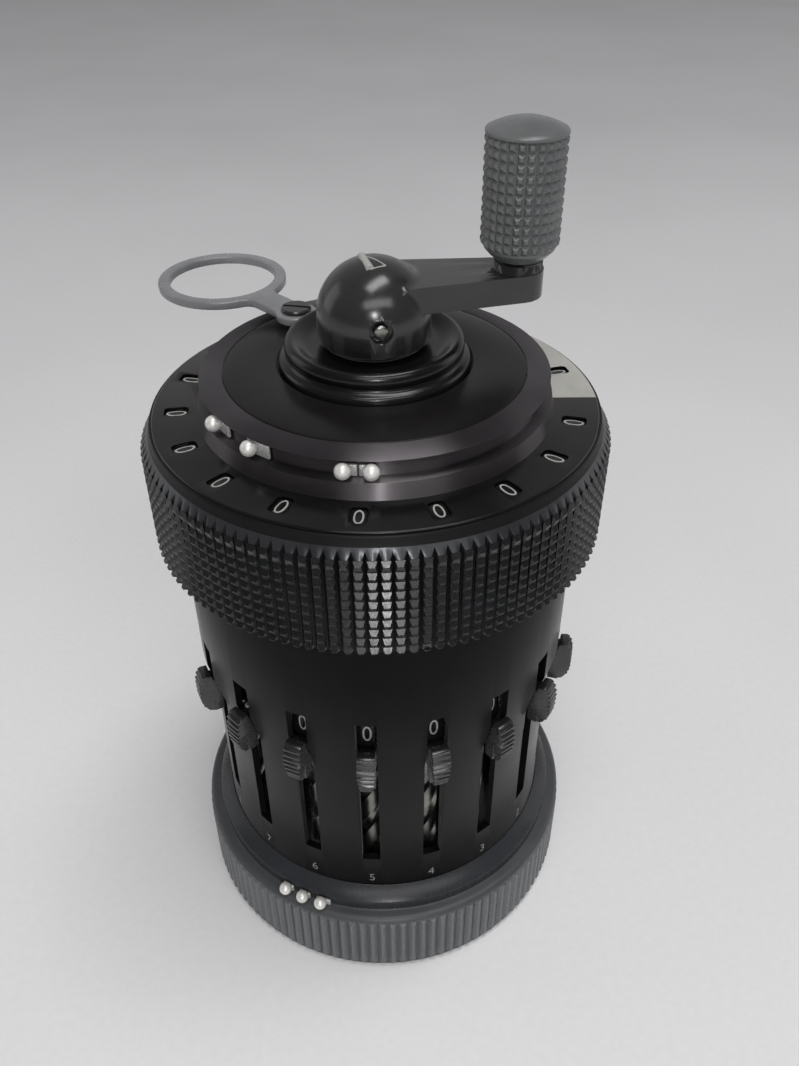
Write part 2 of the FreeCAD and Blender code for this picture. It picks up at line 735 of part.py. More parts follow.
def clearing_disc():
    """Conical disc with the headed stud that the finger loop turns on."""
    bottom = disc_edge - disc_thickness
    disc = ring_of([
        (disc_bore, bottom), (disc_radius, bottom), (disc_radius, disc_edge - 0.05), (disc_bore, disc_hub),
    ])
    stud = tube(0, pivot_radius, disc_edge - 0.5, loop_bottom + loop_thickness - disc_edge + 0.6)
    head = tube(0, pivot_head_radius, loop_bottom + loop_thickness + running_gap, pivot_head)
    pivot = fuse(stud, head)
    pivot.translate(Vector(pivot_circle, 0, 0))
    return fuse(disc, at_azimuth(pivot, loop_azimuth))


def clearing_loop():
    middle = pivot_circle + loop_reach

    def round_plate(x, radius):
        return Part.makeCylinder(radius, loop_thickness, Vector(x, 0, loop_bottom))
    neck = box(pivot_circle, middle - loop_inner, loop_neck_width, loop_bottom, loop_bottom + loop_thickness)
    plate = fuse(round_plate(middle, loop_outer), round_plate(pivot_circle, loop_eye_radius), neck)
    corners = [edge for edge in plate.Edges
               if abs(edge.BoundBox.ZLength - loop_thickness) < 0.01 and edge.BoundBox.XLength < 0.01
               and pivot_circle + 1 < edge.BoundBox.XMin < middle - 5
               and abs(abs(edge.BoundBox.YMin) - loop_neck_width / 2) < 0.01]
    plate = plate.makeFillet(1.4, corners)
    holes = [round_plate(middle, loop_inner), round_plate(pivot_circle, pivot_radius + running_gap)]
    return at_azimuth(plate.cut(Part.makeCompound(holes)), loop_azimuth)


def bead(radius, centre_radius, height):
    """Ball marker as a twelve-sided turned bead."""
    rings = []
    for level in range(1, 7):
        tilt = math.pi * level / 7
        ring = [Vector(centre_radius - radius * math.cos(tilt), radius * math.sin(tilt) * math.cos(turn),
                       height + radius * math.sin(tilt) * math.sin(turn))
                for turn in [math.pi * i / 6 for i in range(12)]]
        rings.append(ring)
    return solid_between(rings)


def clip(inner, length, bottom, height):
    """Curved spring strip along a groove."""
    strip = tube(inner, inner + clip_thickness, bottom, height)
    return strip.common(box(0, inner + 2 * clip_thickness, length, bottom, bottom + height))


def top_marker():
    floor = groove_lip_radius - cover_groove_depth + 0.1
    middle = (groove_bottom + groove_top) / 2
    strip = clip(floor, clip_length, middle - clip_height / 2, clip_height)
    return fuse(bead(bead_radius, floor + bead_radius, middle), strip)


def base_marker():
    floor = base_radius - rim_width - marker_groove + 0.1
    bottom = base_height + 0.1
    strip = clip(floor, base_clip_length, bottom, base_clip_height)
    return fuse(bead(base_bead_radius, floor + base_bead_radius, bottom + base_bead_radius), strip)


def number_dial():
    """Ten-sided number drum, its gear and its axle along the radius."""
    def along(radius, start, end, sides):
        ring = polygon_points(radius, sides, 0)
        points = [Vector(start, point.x, dial_axis + point.y) for point in ring]
        return prism(points, Vector(end - start, 0, 0))
    drum_end = digit_circle + dial_length / 2
    length = ring_bore - seat_gap - 0.1 - gear_start
    axle = Part.makeCylinder(dial_axle_radius, length, Vector(gear_start, 0, dial_axis), Vector(1, 0, 0))
    return fuse(axle, along(dial_radius, drum_end - dial_length, drum_end, 10),
                along(dial_gear_radius, gear_start, gear_end, 10))


save("base_ring", base_ring())
save("base_plate", base_plate())
save("body_sleeve", body_sleeve())
save("lower_bearing_plate", lower_bearing_plate())
save("upper_bearing_plate", upper_bearing_plate())
save("transmission_shafts", *transmission_shafts())
save("top_collar", top_collar())
save("reversing_lever", at_azimuth(reversing_lever(), lever_azimuth))
save("ratchet_wheel", ratchet_wheel())
save("main_shaft", main_shaft())
save("step_drum", step_drum())
save("crank_arm", crank_arm())
save("cross_pin", cross_pin())
save("crank_handle", crank_handle())
save("carriage_bush", carriage_bush())
save("carriage_ring", carriage_ring())
save("dial_frame", dial_frame())
save("dial_cover", dial_cover())
save("clearing_disc", clearing_disc())
save("clearing_loop", clearing_loop())
setting = setting_shaft()
knob = slider()
for number, index in enumerate(reversed(slider_columns), 1):
    save("setting_shaft_%d" % number, at_azimuth(setting, column(index)))
    save("setting_slider_%d" % number, at_azimuth(knob, column(index)))
dial = number_dial()
for number, index in enumerate(reversed(result_columns), 1):
    save("result_dial_%d" % number, at_azimuth(dial, column(index)))
for number, index in enumerate(counter_columns, 1):
    save("counter_dial_%d" % number, at_azimuth(dial, column(index)))
for number, azimuth in enumerate(top_marker_azimuths, 1):
    save("top_marker_%d" % number, at_azimuth(top_marker(), azimuth))
for number, azimuth in enumerate(base_marker_azimuths, 1):
    save("base_marker_%d" % number, at_azimuth(base_marker(), azimuth))
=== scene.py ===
import math

import bpy
from mathutils import Matrix, Vector


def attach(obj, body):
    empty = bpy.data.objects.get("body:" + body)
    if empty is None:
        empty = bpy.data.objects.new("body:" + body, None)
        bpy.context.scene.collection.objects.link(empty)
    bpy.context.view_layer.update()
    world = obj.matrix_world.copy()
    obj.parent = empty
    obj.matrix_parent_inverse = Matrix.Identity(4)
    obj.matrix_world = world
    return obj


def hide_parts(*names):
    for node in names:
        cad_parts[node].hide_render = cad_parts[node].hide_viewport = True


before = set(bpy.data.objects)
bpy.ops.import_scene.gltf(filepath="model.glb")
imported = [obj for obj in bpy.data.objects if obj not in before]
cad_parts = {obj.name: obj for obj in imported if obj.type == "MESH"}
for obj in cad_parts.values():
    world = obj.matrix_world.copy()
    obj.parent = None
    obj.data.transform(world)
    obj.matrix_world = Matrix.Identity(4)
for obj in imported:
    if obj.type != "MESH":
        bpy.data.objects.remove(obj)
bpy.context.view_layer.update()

mm = 0.001                  # sizes below are in mm, only the studio's are in metres
fullTurn = 2 * math.pi      # angles below are in degrees
weld = 0.0005 * mm          # points closer than this are one
facing = 0.9                # a face whose normal has this much of +X looks outwards
slack = 0.02                # faces are told apart by their place to within this many mm
print("frame loaded:", len(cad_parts), "nodes")


# shared ways of working

def clearSelection():
    if bpy.context.mode != "OBJECT":
        bpy.ops.object.mode_set(mode="OBJECT")
    bpy.ops.object.select_all(action="DESELECT")


def pickOnly(piece):
    clearSelection()
    piece.select_set(True)
    bpy.context.view_layer.objects.active = piece


def editAll(piece):
    pickOnly(piece)
    bpy.ops.object.mode_set(mode="EDIT")
    bpy.ops.mesh.select_all(action="SELECT")


def editFaces(piece, wanted):
    # leaves the piece in edit mode with only the wanted faces selected
    editAll(piece)
    bpy.ops.mesh.select_all(action="DESELECT")
    bpy.ops.mesh.select_mode(type="FACE")
    bpy.ops.object.mode_set(mode="OBJECT")
    for face in piece.data.polygons:
        face.select = wanted(face)
    bpy.ops.object.mode_set(mode="EDIT")


def nameNew(name):
    piece = bpy.context.object
    piece.name = name
    piece.data.name = name
    return piece


def cleanUp(piece):
    editAll(piece)
    bpy.ops.mesh.select_mode(type="VERT")
    bpy.ops.mesh.select_all(action="SELECT")
    bpy.ops.mesh.remove_doubles(threshold=weld)
    bpy.ops.mesh.select_all(action="SELECT")
    bpy.ops.mesh.normals_make_consistent(inside=False)
    bpy.ops.object.mode_set(mode="OBJECT")


def applyAll(piece):
    pickOnly(piece)
    for name in [modifier.name for modifier in piece.modifiers]:
        bpy.ops.object.modifier_apply(modifier=name)


def roundEdges(piece, width, segments=2, angle=30):
    pickOnly(piece)
    bpy.ops.object.modifier_add(type="BEVEL")
    bevel = piece.modifiers[-1]
    bevel.width = width * mm
    bevel.segments = segments
    bevel.limit_method = "ANGLE"
    bevel.angle_limit = math.radians(angle)
    applyAll(piece)


def cut(piece, cutter):
    pickOnly(piece)
    bpy.ops.object.modifier_add(type="BOOLEAN")
    boolean = piece.modifiers[-1]
    boolean.operation = "DIFFERENCE"
    boolean.object = cutter
    boolean.solver = "EXACT"
    applyAll(piece)
    bpy.data.objects.remove(cutter)


def smooth(piece, angle=32):
    pickOnly(piece)
    bpy.ops.object.shade_smooth_by_angle(angle=math.radians(angle))


def drawn(name, points):
    # one line through (x, y, z) points in mm, left in edit mode
    clearSelection()
    bpy.ops.mesh.primitive_plane_add(size=1 * mm, location=(0, 0, 0))
    piece = nameNew(name)
    editAll(piece)
    bpy.ops.mesh.select_mode(type="VERT")
    bpy.ops.mesh.select_all(action="SELECT")
    bpy.ops.mesh.merge(type="CENTER")
    bpy.ops.mesh.select_all(action="SELECT")
    bpy.ops.transform.translate(value=Vector(points[0]) * mm)
    for last, point in zip(points, points[1:]):
        step = (Vector(point) - Vector(last)) * mm
        bpy.ops.mesh.extrude_vertices_move(TRANSFORM_OT_translate={"value": step})
    bpy.ops.mesh.select_all(action="SELECT")
    return piece


def turned(name, outline, steps=240, rounding=0.0):
    # a (radius, height) outline in mm spun round the Z axis
    onAxis = outline[0][0] == 0 and outline[-1][0] == 0
    line = outline if onAxis else outline + outline[:1]
    piece = drawn(name, [(radius, 0, height) for radius, height in line])
    bpy.ops.mesh.remove_doubles(threshold=weld)
    bpy.ops.mesh.select_all(action="SELECT")
    bpy.ops.mesh.spin(steps=steps, angle=fullTurn, center=(0, 0, 0), axis=(0, 0, 1),
                      use_auto_merge=True)
    cleanUp(piece)
    if rounding:
        roundEdges(piece, rounding)
    return piece


def block(name, low, high):
    # a box between two corners in mm, used to cut with
    clearSelection()
    middle = [(a + b) / 2 * mm for a, b in zip(low, high)]
    bpy.ops.mesh.primitive_cube_add(size=1, location=middle)
    piece = nameNew(name)
    piece.scale = [(b - a) * mm for a, b in zip(low, high)]
    bpy.ops.object.transform_apply(location=True, rotation=True, scale=True)
    return piece


def copyOf(piece, name):
    twin = piece.copy()
    twin.data = piece.data.copy()
    twin.name = name
    twin.data.name = name
    bpy.context.scene.collection.objects.link(twin)
    return twin


def joined(name, pieces):
    clearSelection()
    for piece in pieces:
        piece.select_set(True)
    bpy.context.view_layer.objects.active = pieces[0]
    if len(pieces) > 1:
        bpy.ops.object.join()
    return nameNew(name)


def aroundAxis(azimuth):
    # azimuth 0 is the front, 90 is +X: turns a piece made along +X to its place
    return Matrix.Rotation(math.radians(azimuth - 90), 4, "Z")


def shift(x=0.0, y=0.0, z=0.0):
    return Matrix.Translation((x * mm, y * mm, z * mm))


def dress(piece, finish, slotName, body, *nodes):
    piece.data.materials.clear()
    piece.data.materials.append(finish)
    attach(piece, body)
    if nodes:
        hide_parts(*nodes)


def fromNode(node, name, rounding, angle=35, segments=2, mergeGap=0.001, flatAngle=0.6):
    # a copy of a CAD solid with its flat faces whole again and its edges eased
    piece = copyOf(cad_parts[node], name)
    piece.parent = None
    piece.matrix_world = Matrix.Identity(4)
    for key in list(piece.keys()):
        del piece[key]
    editAll(piece)
    bpy.ops.mesh.remove_doubles(threshold=mergeGap * mm)
    bpy.ops.mesh.select_all(action="SELECT")
    bpy.ops.mesh.dissolve_limited(angle_limit=math.radians(flatAngle))
    bpy.ops.object.mode_set(mode="OBJECT")
    if rounding:
        roundEdges(piece, rounding, segments, angle)
    smooth(piece, angle)
    return piece


def knurled(name, levels, columns, root, depth, width, ridge, drop=0.0, topRidge=0.03):
    # columns of blunt pyramids round the Z axis; levels are the grooves between the rows. With a
    # drop the top row's ridge is thin and lies higher, so that it follows the cone over it
    rooted = 1.2 * depth        # how far each column reaches into the wall behind it
    piece = drawn(name, [(root, -width / 2, level) for level in levels])
    bpy.ops.mesh.extrude_edges_move(TRANSFORM_OT_translate={"value": (0, width * mm, 0)})
    bpy.ops.mesh.select_all(action="SELECT")
    bpy.ops.mesh.extrude_region_move(TRANSFORM_OT_translate={"value": (-rooted * mm, 0, 0)})
    cleanUp(piece)
    editFaces(piece, lambda face: face.normal.x > facing)
    margin = (width - ridge[0]) / 2
    bpy.ops.mesh.inset(thickness=margin * mm, depth=depth * mm, use_individual=True)
    tip = (root + depth / 2) * mm
    for low, high in zip(levels, levels[1:]):
        editFaces(piece, lambda face: face.center.x > tip and face.normal.x > facing
                  and low < face.center.z / mm < high)
        middle = (low + high) / 2
        atTop = drop and high == levels[-1]
        tall = topRidge if atTop else ridge[1]
        bpy.ops.transform.resize(value=(1, 1, tall / (high - low - 2 * margin)),
                                 center_override=((root + depth) * mm, 0, middle * mm))
        if atTop:
            bpy.ops.transform.translate(value=(0, 0, drop * mm))
    bpy.ops.mesh.select_all(action="SELECT")
    bpy.ops.mesh.spin(steps=columns - 1, dupli=True, angle=fullTurn * (columns - 1) / columns,
                      center=(0, 0, 0), axis=(0, 0, 1))
    bpy.ops.object.mode_set(mode="OBJECT")
    return piece


def numeral(text, height, squeeze, stroke, radius, paint=0.012, sizePerHeight=1.37):
    # a painted numeral on a drum or wall of that radius round the Z axis, upright and facing +X
    clearSelection()
    bpy.ops.object.text_add(location=(0, 0, 0), rotation=(math.pi / 2, 0, 0))
    words = bpy.context.object
    words.data.body = text
    words.data.size = sizePerHeight * height * mm
    words.data.offset = stroke * mm
    words.data.extrude = paint * mm
    words.data.resolution_u = 4
    bpy.ops.object.convert(target="MESH")
    plate = nameNew("numeral" + text)
    bpy.ops.object.transform_apply(location=False, rotation=True, scale=False)
    bpy.ops.object.origin_set(type="GEOMETRY_ORIGIN", center="BOUNDS")
    plate.scale = (squeeze, 1, 1)
    bpy.ops.object.transform_apply(location=False, rotation=False, scale=True)
    wide = plate.dimensions.x
    # cut upright in five, so that it can bend
    for share in (-0.3, -0.1, 0.1, 0.3):
        editAll(plate)
        bpy.ops.mesh.bisect(plane_co=(share * wide, 0, 0), plane_no=(1, 0, 0))
    bpy.ops.object.mode_set(mode="OBJECT")
    pickOnly(plate)
    bpy.ops.object.modifier_add(type="SIMPLE_DEFORM")
    bend = plate.modifiers[-1]
    bend.deform_method = "BEND"
    bend.deform_axis = "Z"
    bend.angle = wide / (radius * mm)
    applyAll(plate)
    plate.data.transform(Matrix.Rotation(math.pi / 2, 4, "Z") @ shift(y=-radius))
    return plate


# finishes

def newFinish(name):
    finish = bpy.data.materials.new(name)
    finish.use_nodes = True
    shader = finish.node_tree.nodes["Principled BSDF"]
    return finish, finish.node_tree.nodes, finish.node_tree.links, shader


def noiseOn(nodes, links, coords, scale, detail=3.0, roughness=0.6):
    noise = nodes.new("ShaderNodeTexNoise")
    noise.inputs["Scale"].default_value = scale
    noise.inputs["Detail"].default_value = detail
    noise.inputs["Roughness"].default_value = roughness
    links.new(coords.outputs["Object"], noise.inputs["Vector"])
    return noise


def rampOn(nodes, links, source, span, lowColour, highColour):
    ramp = nodes.new("ShaderNodeValToRGB")
    for stop, place, colour in zip(ramp.color_ramp.elements, span, (lowColour, highColour)):
        stop.position = place
        stop.color = (*colour, 1)
    links.new(source, ramp.inputs["Fac"])
    return ramp


def mixOn(nodes, links, share, first, second):
    mix = nodes.new("ShaderNodeMixRGB")
    links.new(share, mix.inputs["Fac"])
    links.new(first, mix.inputs["Color1"])
    if isinstance(second, tuple):
        mix.inputs["Color2"].default_value = (*second, 1)
    else:
        links.new(second, mix.inputs["Color2"])
    return mix.outputs["Color"]


def sumOn(nodes, links, operation, first, second):
    node = nodes.new("ShaderNodeMath")
    node.operation = operation
    for socket, value in zip(node.inputs, (first, second)):
        if isinstance(value, (int, float)):
            socket.default_value = value
        else:
            links.new(value, socket)
    return node.outputs["Value"]


def radiusOn(nodes, links, coords):
    # distance from the main axis, and the height, of the shaded point
    parts = nodes.new("ShaderNodeSeparateXYZ")
    links.new(coords.outputs["Object"], parts.inputs["Vector"])
    flat = nodes.new("ShaderNodeCombineXYZ")
    links.new(parts.outputs["X"], flat.inputs["X"])
    links.new(parts.outputs["Y"], flat.inputs["Y"])
    radius = nodes.new("ShaderNodeVectorMath")
    radius.operation = "LENGTH"
    links.new(flat.outputs["Vector"], radius.inputs[0])
    return parts, radius.outputs["Value"]


def bumpOn(nodes, links, shader, source, strength, distance):
    bump = nodes.new("ShaderNodeBump")
    bump.inputs["Strength"].default_value = strength
    bump.inputs["Distance"].default_value = distance * mm
    links.new(source, bump.inputs["Height"])
    links.new(bump.outputs["Normal"], shader.inputs["Normal"])


def dustOn(shader, share):
    # dust that lightens the grazing sides
    shader.inputs["Sheen Weight"].default_value = share
    shader.inputs["Sheen Roughness"].default_value = grain["dustRoughness"]


grain = {"broad": 180, "fineDetail": 4.0, "tintSpan": (0.3, 0.75), "glossSpan": (0.3, 0.7),
         "bump": 0.35, "dustRoughness": 0.35, "acrossTurning": 0.25}


def surface(name, look):
    # colour drifts with a broad noise, roughness with a finer one, which also gives a small bump;
    # edge wear and a painted highlight lighten the edges in patches
    finish, nodes, links, shader = newFinish(name)
    coords = nodes.new("ShaderNodeTexCoord")
    broad = noiseOn(nodes, links, coords, grain["broad"])
    fine = noiseOn(nodes, links, coords, look["grain"], grain["fineDetail"])
    tint = rampOn(nodes, links, broad.outputs["Fac"], grain["tintSpan"], look["dark"],
                  look["light"])
    low, high = look["roughness"]
    gloss = rampOn(nodes, links, fine.outputs["Fac"], grain["glossSpan"], (low,) * 3, (high,) * 3)
    colour = tint.outputs["Color"]
    if "wear" in look:
        edge = nodes.new("ShaderNodeNewGeometry")
        rim = rampOn(nodes, links, edge.outputs["Pointiness"], look["wearSpan"], (0, 0, 0),
                     (1, 1, 1))
        patches = sumOn(nodes, links, "MULTIPLY", rim.outputs["Color"], fine.outputs["Fac"])
        colour = mixOn(nodes, links, patches, colour, look["wear"])
    links.new(colour, shader.inputs["Base Color"])
    links.new(gloss.outputs["Color"], shader.inputs["Roughness"])
    shader.inputs["Metallic"].default_value = look.get("metallic", 0.0)
    shader.inputs["Specular IOR Level"].default_value = look.get("specular", 0.5)
    if "sheen" in look:
        dustOn(shader, look["sheen"])
    if "turning" in look:
        # lathe marks: the shine spreads across them
        shader.inputs["Anisotropic"].default_value = look["turning"]
        shader.inputs["Anisotropic Rotation"].default_value = grain["acrossTurning"]
        tangent = nodes.new("ShaderNodeTangent")
        tangent.direction_type = "RADIAL"
        tangent.axis = "Z"
        links.new(tangent.outputs["Tangent"], shader.inputs["Tangent"])
    bumpOn(nodes, links, shader, fine.outputs["Fac"], grain["bump"], look["depth"])
    return finish


looks = {
    "sleeveEnamel": {
        "light": (0.004, 0.004, 0.004), "dark": (0.002, 0.002, 0.002), "roughness": (0.28, 0.36),
        "specular": 0.09, "grain": 2600, "depth": 0.004, "sheen": 0.1},
    # painted light: the base's black is much lighter than the sleeve's same enamel, and its edges
    # lighten with wear and a painted highlight
    "baseEnamelPaintedLight": {
        "light": (0.062, 0.064, 0.067), "dark": (0.046, 0.048, 0.051), "roughness": (0.34, 0.46),
        "specular": 0.3, "grain": 2600, "depth": 0.01, "wearSpan": (0.51, 0.62),
        "wear": (0.2, 0.21, 0.22)},
    "ledgeEnamel": {
        "light": (0.032, 0.034, 0.038), "dark": (0.024, 0.025, 0.028), "roughness": (0.24, 0.32),
        "specular": 0.25, "grain": 2600, "depth": 0.003, "sheen": 0.05},
    "glossEnamel": {
        "light": (0.026, 0.026, 0.027), "dark": (0.018, 0.018, 0.019), "roughness": (0.17, 0.24),
        "grain": 1600, "depth": 0.0012, "sheen": 0.05},
    "collarEnamel": {
        "light": (0.008, 0.008, 0.008), "dark": (0.004, 0.004, 0.004), "roughness": (0.18, 0.26),
        "specular": 0.35, "grain": 2200, "depth": 0.005},
    # painted reflection: the black loop is coloured light grey for the pale surroundings it
    # reflects
    "loopEnamelPaintedReflection": {
        "light": (0.215, 0.218, 0.224), "dark": (0.165, 0.168, 0.174), "roughness": (0.2, 0.3),
        "grain": 2200, "depth": 0.002},
    "discEnamel": {
        "light": (0.01, 0.009, 0.009), "dark": (0.006, 0.005, 0.006), "roughness": (0.22, 0.28),
        "specular": 0.17, "grain": 2000, "depth": 0.0015, "sheen": 0.06},
    "turnedBlack": {
        "light": (0.098, 0.09, 0.095), "dark": (0.072, 0.066, 0.07), "roughness": (0.34, 0.38),
        "metallic": 0.9, "grain": 3000, "depth": 0.001, "turning": 1.0},
    "knurlBlack": {
        "light": (0.009, 0.01, 0.011), "dark": (0.005, 0.005, 0.006), "roughness": (0.22, 0.31),
        "specular": 0.48, "grain": 2600, "depth": 0.006, "sheen": 0.06},
    # darker and duller in the knurl's grooves and the dial windows: partly oxide in the hollows,
    # partly painted shade
    "grooveOxideAndShade": {
        "light": (0.005, 0.005, 0.006), "dark": (0.003, 0.003, 0.003), "roughness": (0.4, 0.5),
        "specular": 0.2, "grain": 2600, "depth": 0.004},
    "shoulderBlack": {
        "light": (0.088, 0.09, 0.095), "dark": (0.066, 0.068, 0.073), "roughness": (0.3, 0.33),
        "metallic": 0.9, "grain": 3000, "depth": 0.001, "turning": 1.0},
    "handleBlack": {
        "light": (0.125, 0.13, 0.13), "dark": (0.09, 0.094, 0.095), "roughness": (0.26, 0.38),
        "grain": 2600, "depth": 0.006},
    "sliderBlack": {
        "light": (0.016, 0.016, 0.017), "dark": (0.009, 0.009, 0.01), "roughness": (0.22, 0.3),
        "specular": 0.75, "grain": 2600, "depth": 0.002, "sheen": 0.1},
    "brightSteel": {
        "light": (0.62, 0.62, 0.63), "dark": (0.42, 0.42, 0.43), "roughness": (0.2, 0.34),
        "metallic": 1.0, "grain": 3200, "depth": 0.02},
    "shaftSteel": {
        "light": (0.34, 0.34, 0.31), "dark": (0.16, 0.16, 0.15), "roughness": (0.26, 0.4),
        "metallic": 1.0, "grain": 3000, "depth": 0.02},
    "beadSteel": {
        "light": (0.8, 0.79, 0.76), "dark": (0.66, 0.65, 0.62), "roughness": (0.3, 0.44),
        "metallic": 0.35, "grain": 2600, "depth": 0.015},
    "clipSteel": {
        "light": (0.66, 0.67, 0.65), "dark": (0.5, 0.51, 0.5), "roughness": (0.24, 0.34),
        "metallic": 0.5, "grain": 900, "depth": 0.004},
    "turnedAlloy": {
        "light": (0.5, 0.5, 0.51), "dark": (0.34, 0.34, 0.35), "roughness": (0.32, 0.48),
        "metallic": 1.0, "grain": 2600, "depth": 0.02},
    "drumBlack": {
        "light": (0.01, 0.01, 0.011), "dark": (0.006, 0.006, 0.007), "roughness": (0.2, 0.3),
        "grain": 2600, "depth": 0.006},
    "digitPaint": {
        "light": (0.44, 0.45, 0.42), "dark": (0.3, 0.31, 0.28), "roughness": (0.44, 0.56),
        "grain": 2600, "depth": 0.008},
    "scalePaint": {
        "light": (0.3, 0.31, 0.3), "dark": (0.16, 0.17, 0.17), "roughness": (0.5, 0.6),
        "grain": 2600, "depth": 0.008},
}
finishes = {name: surface(name, look) for name, look in looks.items()}


coverPaint = {
    "blackDark": (0.003, 0.003, 0.003), "blackLight": (0.006, 0.006, 0.007),
    "paleDark": (0.34, 0.34, 0.31), "paleLight": (0.44, 0.43, 0.40),
    "sectionEnd": 133.5, "sectionRadius": 19.93, "sectionBottom": 74.3, "roughness": (0.16, 0.24),
    "specular": 0.3, "sheen": 0.22, "broad": 200, "grain": 2400, "bump": 0.3, "depth": 0.004,
}


def coverFinish():
    # black enamel with the pale section over the counter dials, painted by its angle round the axis
    paint = coverPaint
    finish, nodes, links, shader = newFinish("coverEnamel")
    coords = nodes.new("ShaderNodeTexCoord")
    parts, radius = radiusOn(nodes, links, coords)
    angle = sumOn(nodes, links, "ARCTAN2", parts.outputs["Y"], parts.outputs["X"])
    pale = sumOn(nodes, links, "GREATER_THAN", angle, 0.0)
    for operation, value, limit in (
            ("LESS_THAN", angle, math.radians(paint["sectionEnd"])),
            ("GREATER_THAN", radius, paint["sectionRadius"] * mm),
            ("GREATER_THAN", parts.outputs["Z"], paint["sectionBottom"] * mm)):
        inside = sumOn(nodes, links, operation, value, limit)
        pale = sumOn(nodes, links, "MULTIPLY", pale, inside)
    fine = noiseOn(nodes, links, coords, paint["grain"], grain["fineDetail"])
    broad = noiseOn(nodes, links, coords, paint["broad"]).outputs["Fac"]
    black = rampOn(nodes, links, broad, grain["tintSpan"], paint["blackDark"], paint["blackLight"])
    white = rampOn(nodes, links, broad, grain["tintSpan"], paint["paleDark"], paint["paleLight"])
    colour = mixOn(nodes, links, pale, black.outputs["Color"], white.outputs["Color"])
    links.new(colour, shader.inputs["Base Color"])
    low, high = paint["roughness"]
    gloss = rampOn(nodes, links, fine.outputs["Fac"], grain["glossSpan"], (low,) * 3, (high,) * 3)
    links.new(gloss.outputs["Color"], shader.inputs["Roughness"])
    shader.inputs["Specular IOR Level"].default_value = paint["specular"]
    dustOn(shader, paint["sheen"])
    bumpOn(nodes, links, shader, fine.outputs["Fac"], paint["bump"], paint["depth"])
    return finish


finishes["coverEnamel"] = coverFinish()
print("finishes made:", len(finishes))


# base: ring, plate with its screws

base = {
    "radius": 26.2, "root": 25.78, "flutes": 120, "fluteWidth": 1.16, "fluteRidge": (0.42, 8.7),
    "fluteBottom": 0.9, "fluteTop": 10.2, "top": 11.3, "grooveRadius": 25.4, "grooveFloor": 24.4,
    "ledgeFoot": 12.7, "ledgeTop": 14.2, "sleeveSeat": 22.52, "bore": 23.4, "shoulder": 10.4,
    "footChamfer": 0.25, "lip": 0.12, "lipSpan": (0.25, 0.6), "lipSlope": 0.45, "fillet": 0.15,
    "spigot": (20.2, 8.8), "boreTop": 7.6, "easing": 0.1, "rounding": 0.09, "ledgePaint": 0.05,
}
plate = {
    "radius": 23.38, "thickness": 1.6, "bossRadius": 5.5, "bossTop": 4.8, "bore": 3.05,
    "boreFloor": 0.8, "rounding": 0.06, "screwCircle": 18.5, "screws": 3, "firstScrew": 30,
    "screwRadius": 1.5, "headHeight": 0.8, "wellDepth": 0.9, "wellRoom": 0.2,
}
overrun = 1.0       # how far a cutter reaches past the piece it cuts, in mm


def makeBase():
    size = base
    root, top, ease = size["root"], size["top"], size["easing"]
    rim, fluteTop = size["radius"] - size["lip"], size["fluteTop"]
    lipFoot, lipHead = size["lipSpan"]
    floor, foot, fillet = size["grooveFloor"], size["ledgeFoot"], size["fillet"]
    body = turned("baseRing", [
        (size["bore"], 0.0), (root - size["footChamfer"], 0.0), (root, size["footChamfer"]),
        (root, fluteTop + ease), (rim, fluteTop + lipFoot), (rim, fluteTop + lipHead),
        (size["radius"] - size["lipSlope"], top - size["lip"]), (size["grooveRadius"] - ease, top),
        (floor + fillet, top), (floor, top + fillet), (floor, foot - ease),
        (floor - fillet, foot + ease),
        (size["sleeveSeat"] + size["lip"], size["ledgeTop"]),
        (size["sleeveSeat"], size["ledgeTop"] - ease), (size["sleeveSeat"], size["shoulder"]),
        (size["spigot"][0], size["shoulder"]), size["spigot"], (size["bore"], size["boreTop"]),
    ], rounding=size["rounding"])
    flutes = knurled("baseFlutes", [size["fluteBottom"], fluteTop], size["flutes"], root,
                     size["radius"] - root, size["fluteWidth"], size["fluteRidge"])
    ring = joined("baseRing", [body, flutes])
    smooth(ring)
    dress(ring, finishes["baseEnamelPaintedLight"], "black_enamel", "body", "base_ring")
    # the ledge keeps a darker enamel; the flutes' lighter colour below it is painted light
    ring.data.materials.append(finishes["ledgeEnamel"])
    for face in ring.data.polygons:
        face.material_index = 1 if face.center.z / mm > top + size["ledgePaint"] else 0


screwDome = [(0.0, 0.18), (0.16, 0.03)]     # (in from the side, down from the top) of a head


def screw(name, radius, bottom, top, slotWidth=0.4, slotDepth=0.35, ease=0.05):
    # a slotted head round the Z axis, slightly domed, its slot in the top
    dome = [(radius - inwards, top - down) for inwards, down in screwDome]
    head = turned(name, [(0, bottom), (radius - ease, bottom), (radius, bottom + ease)] + dome
                  + [(0, top)], steps=40)
    reach, half = radius + overrun, slotWidth / 2
    cut(head, block("slotCutter", (-reach, -half, top - slotDepth), (reach, half, top + overrun)))
    smooth(head, 30)
    return head


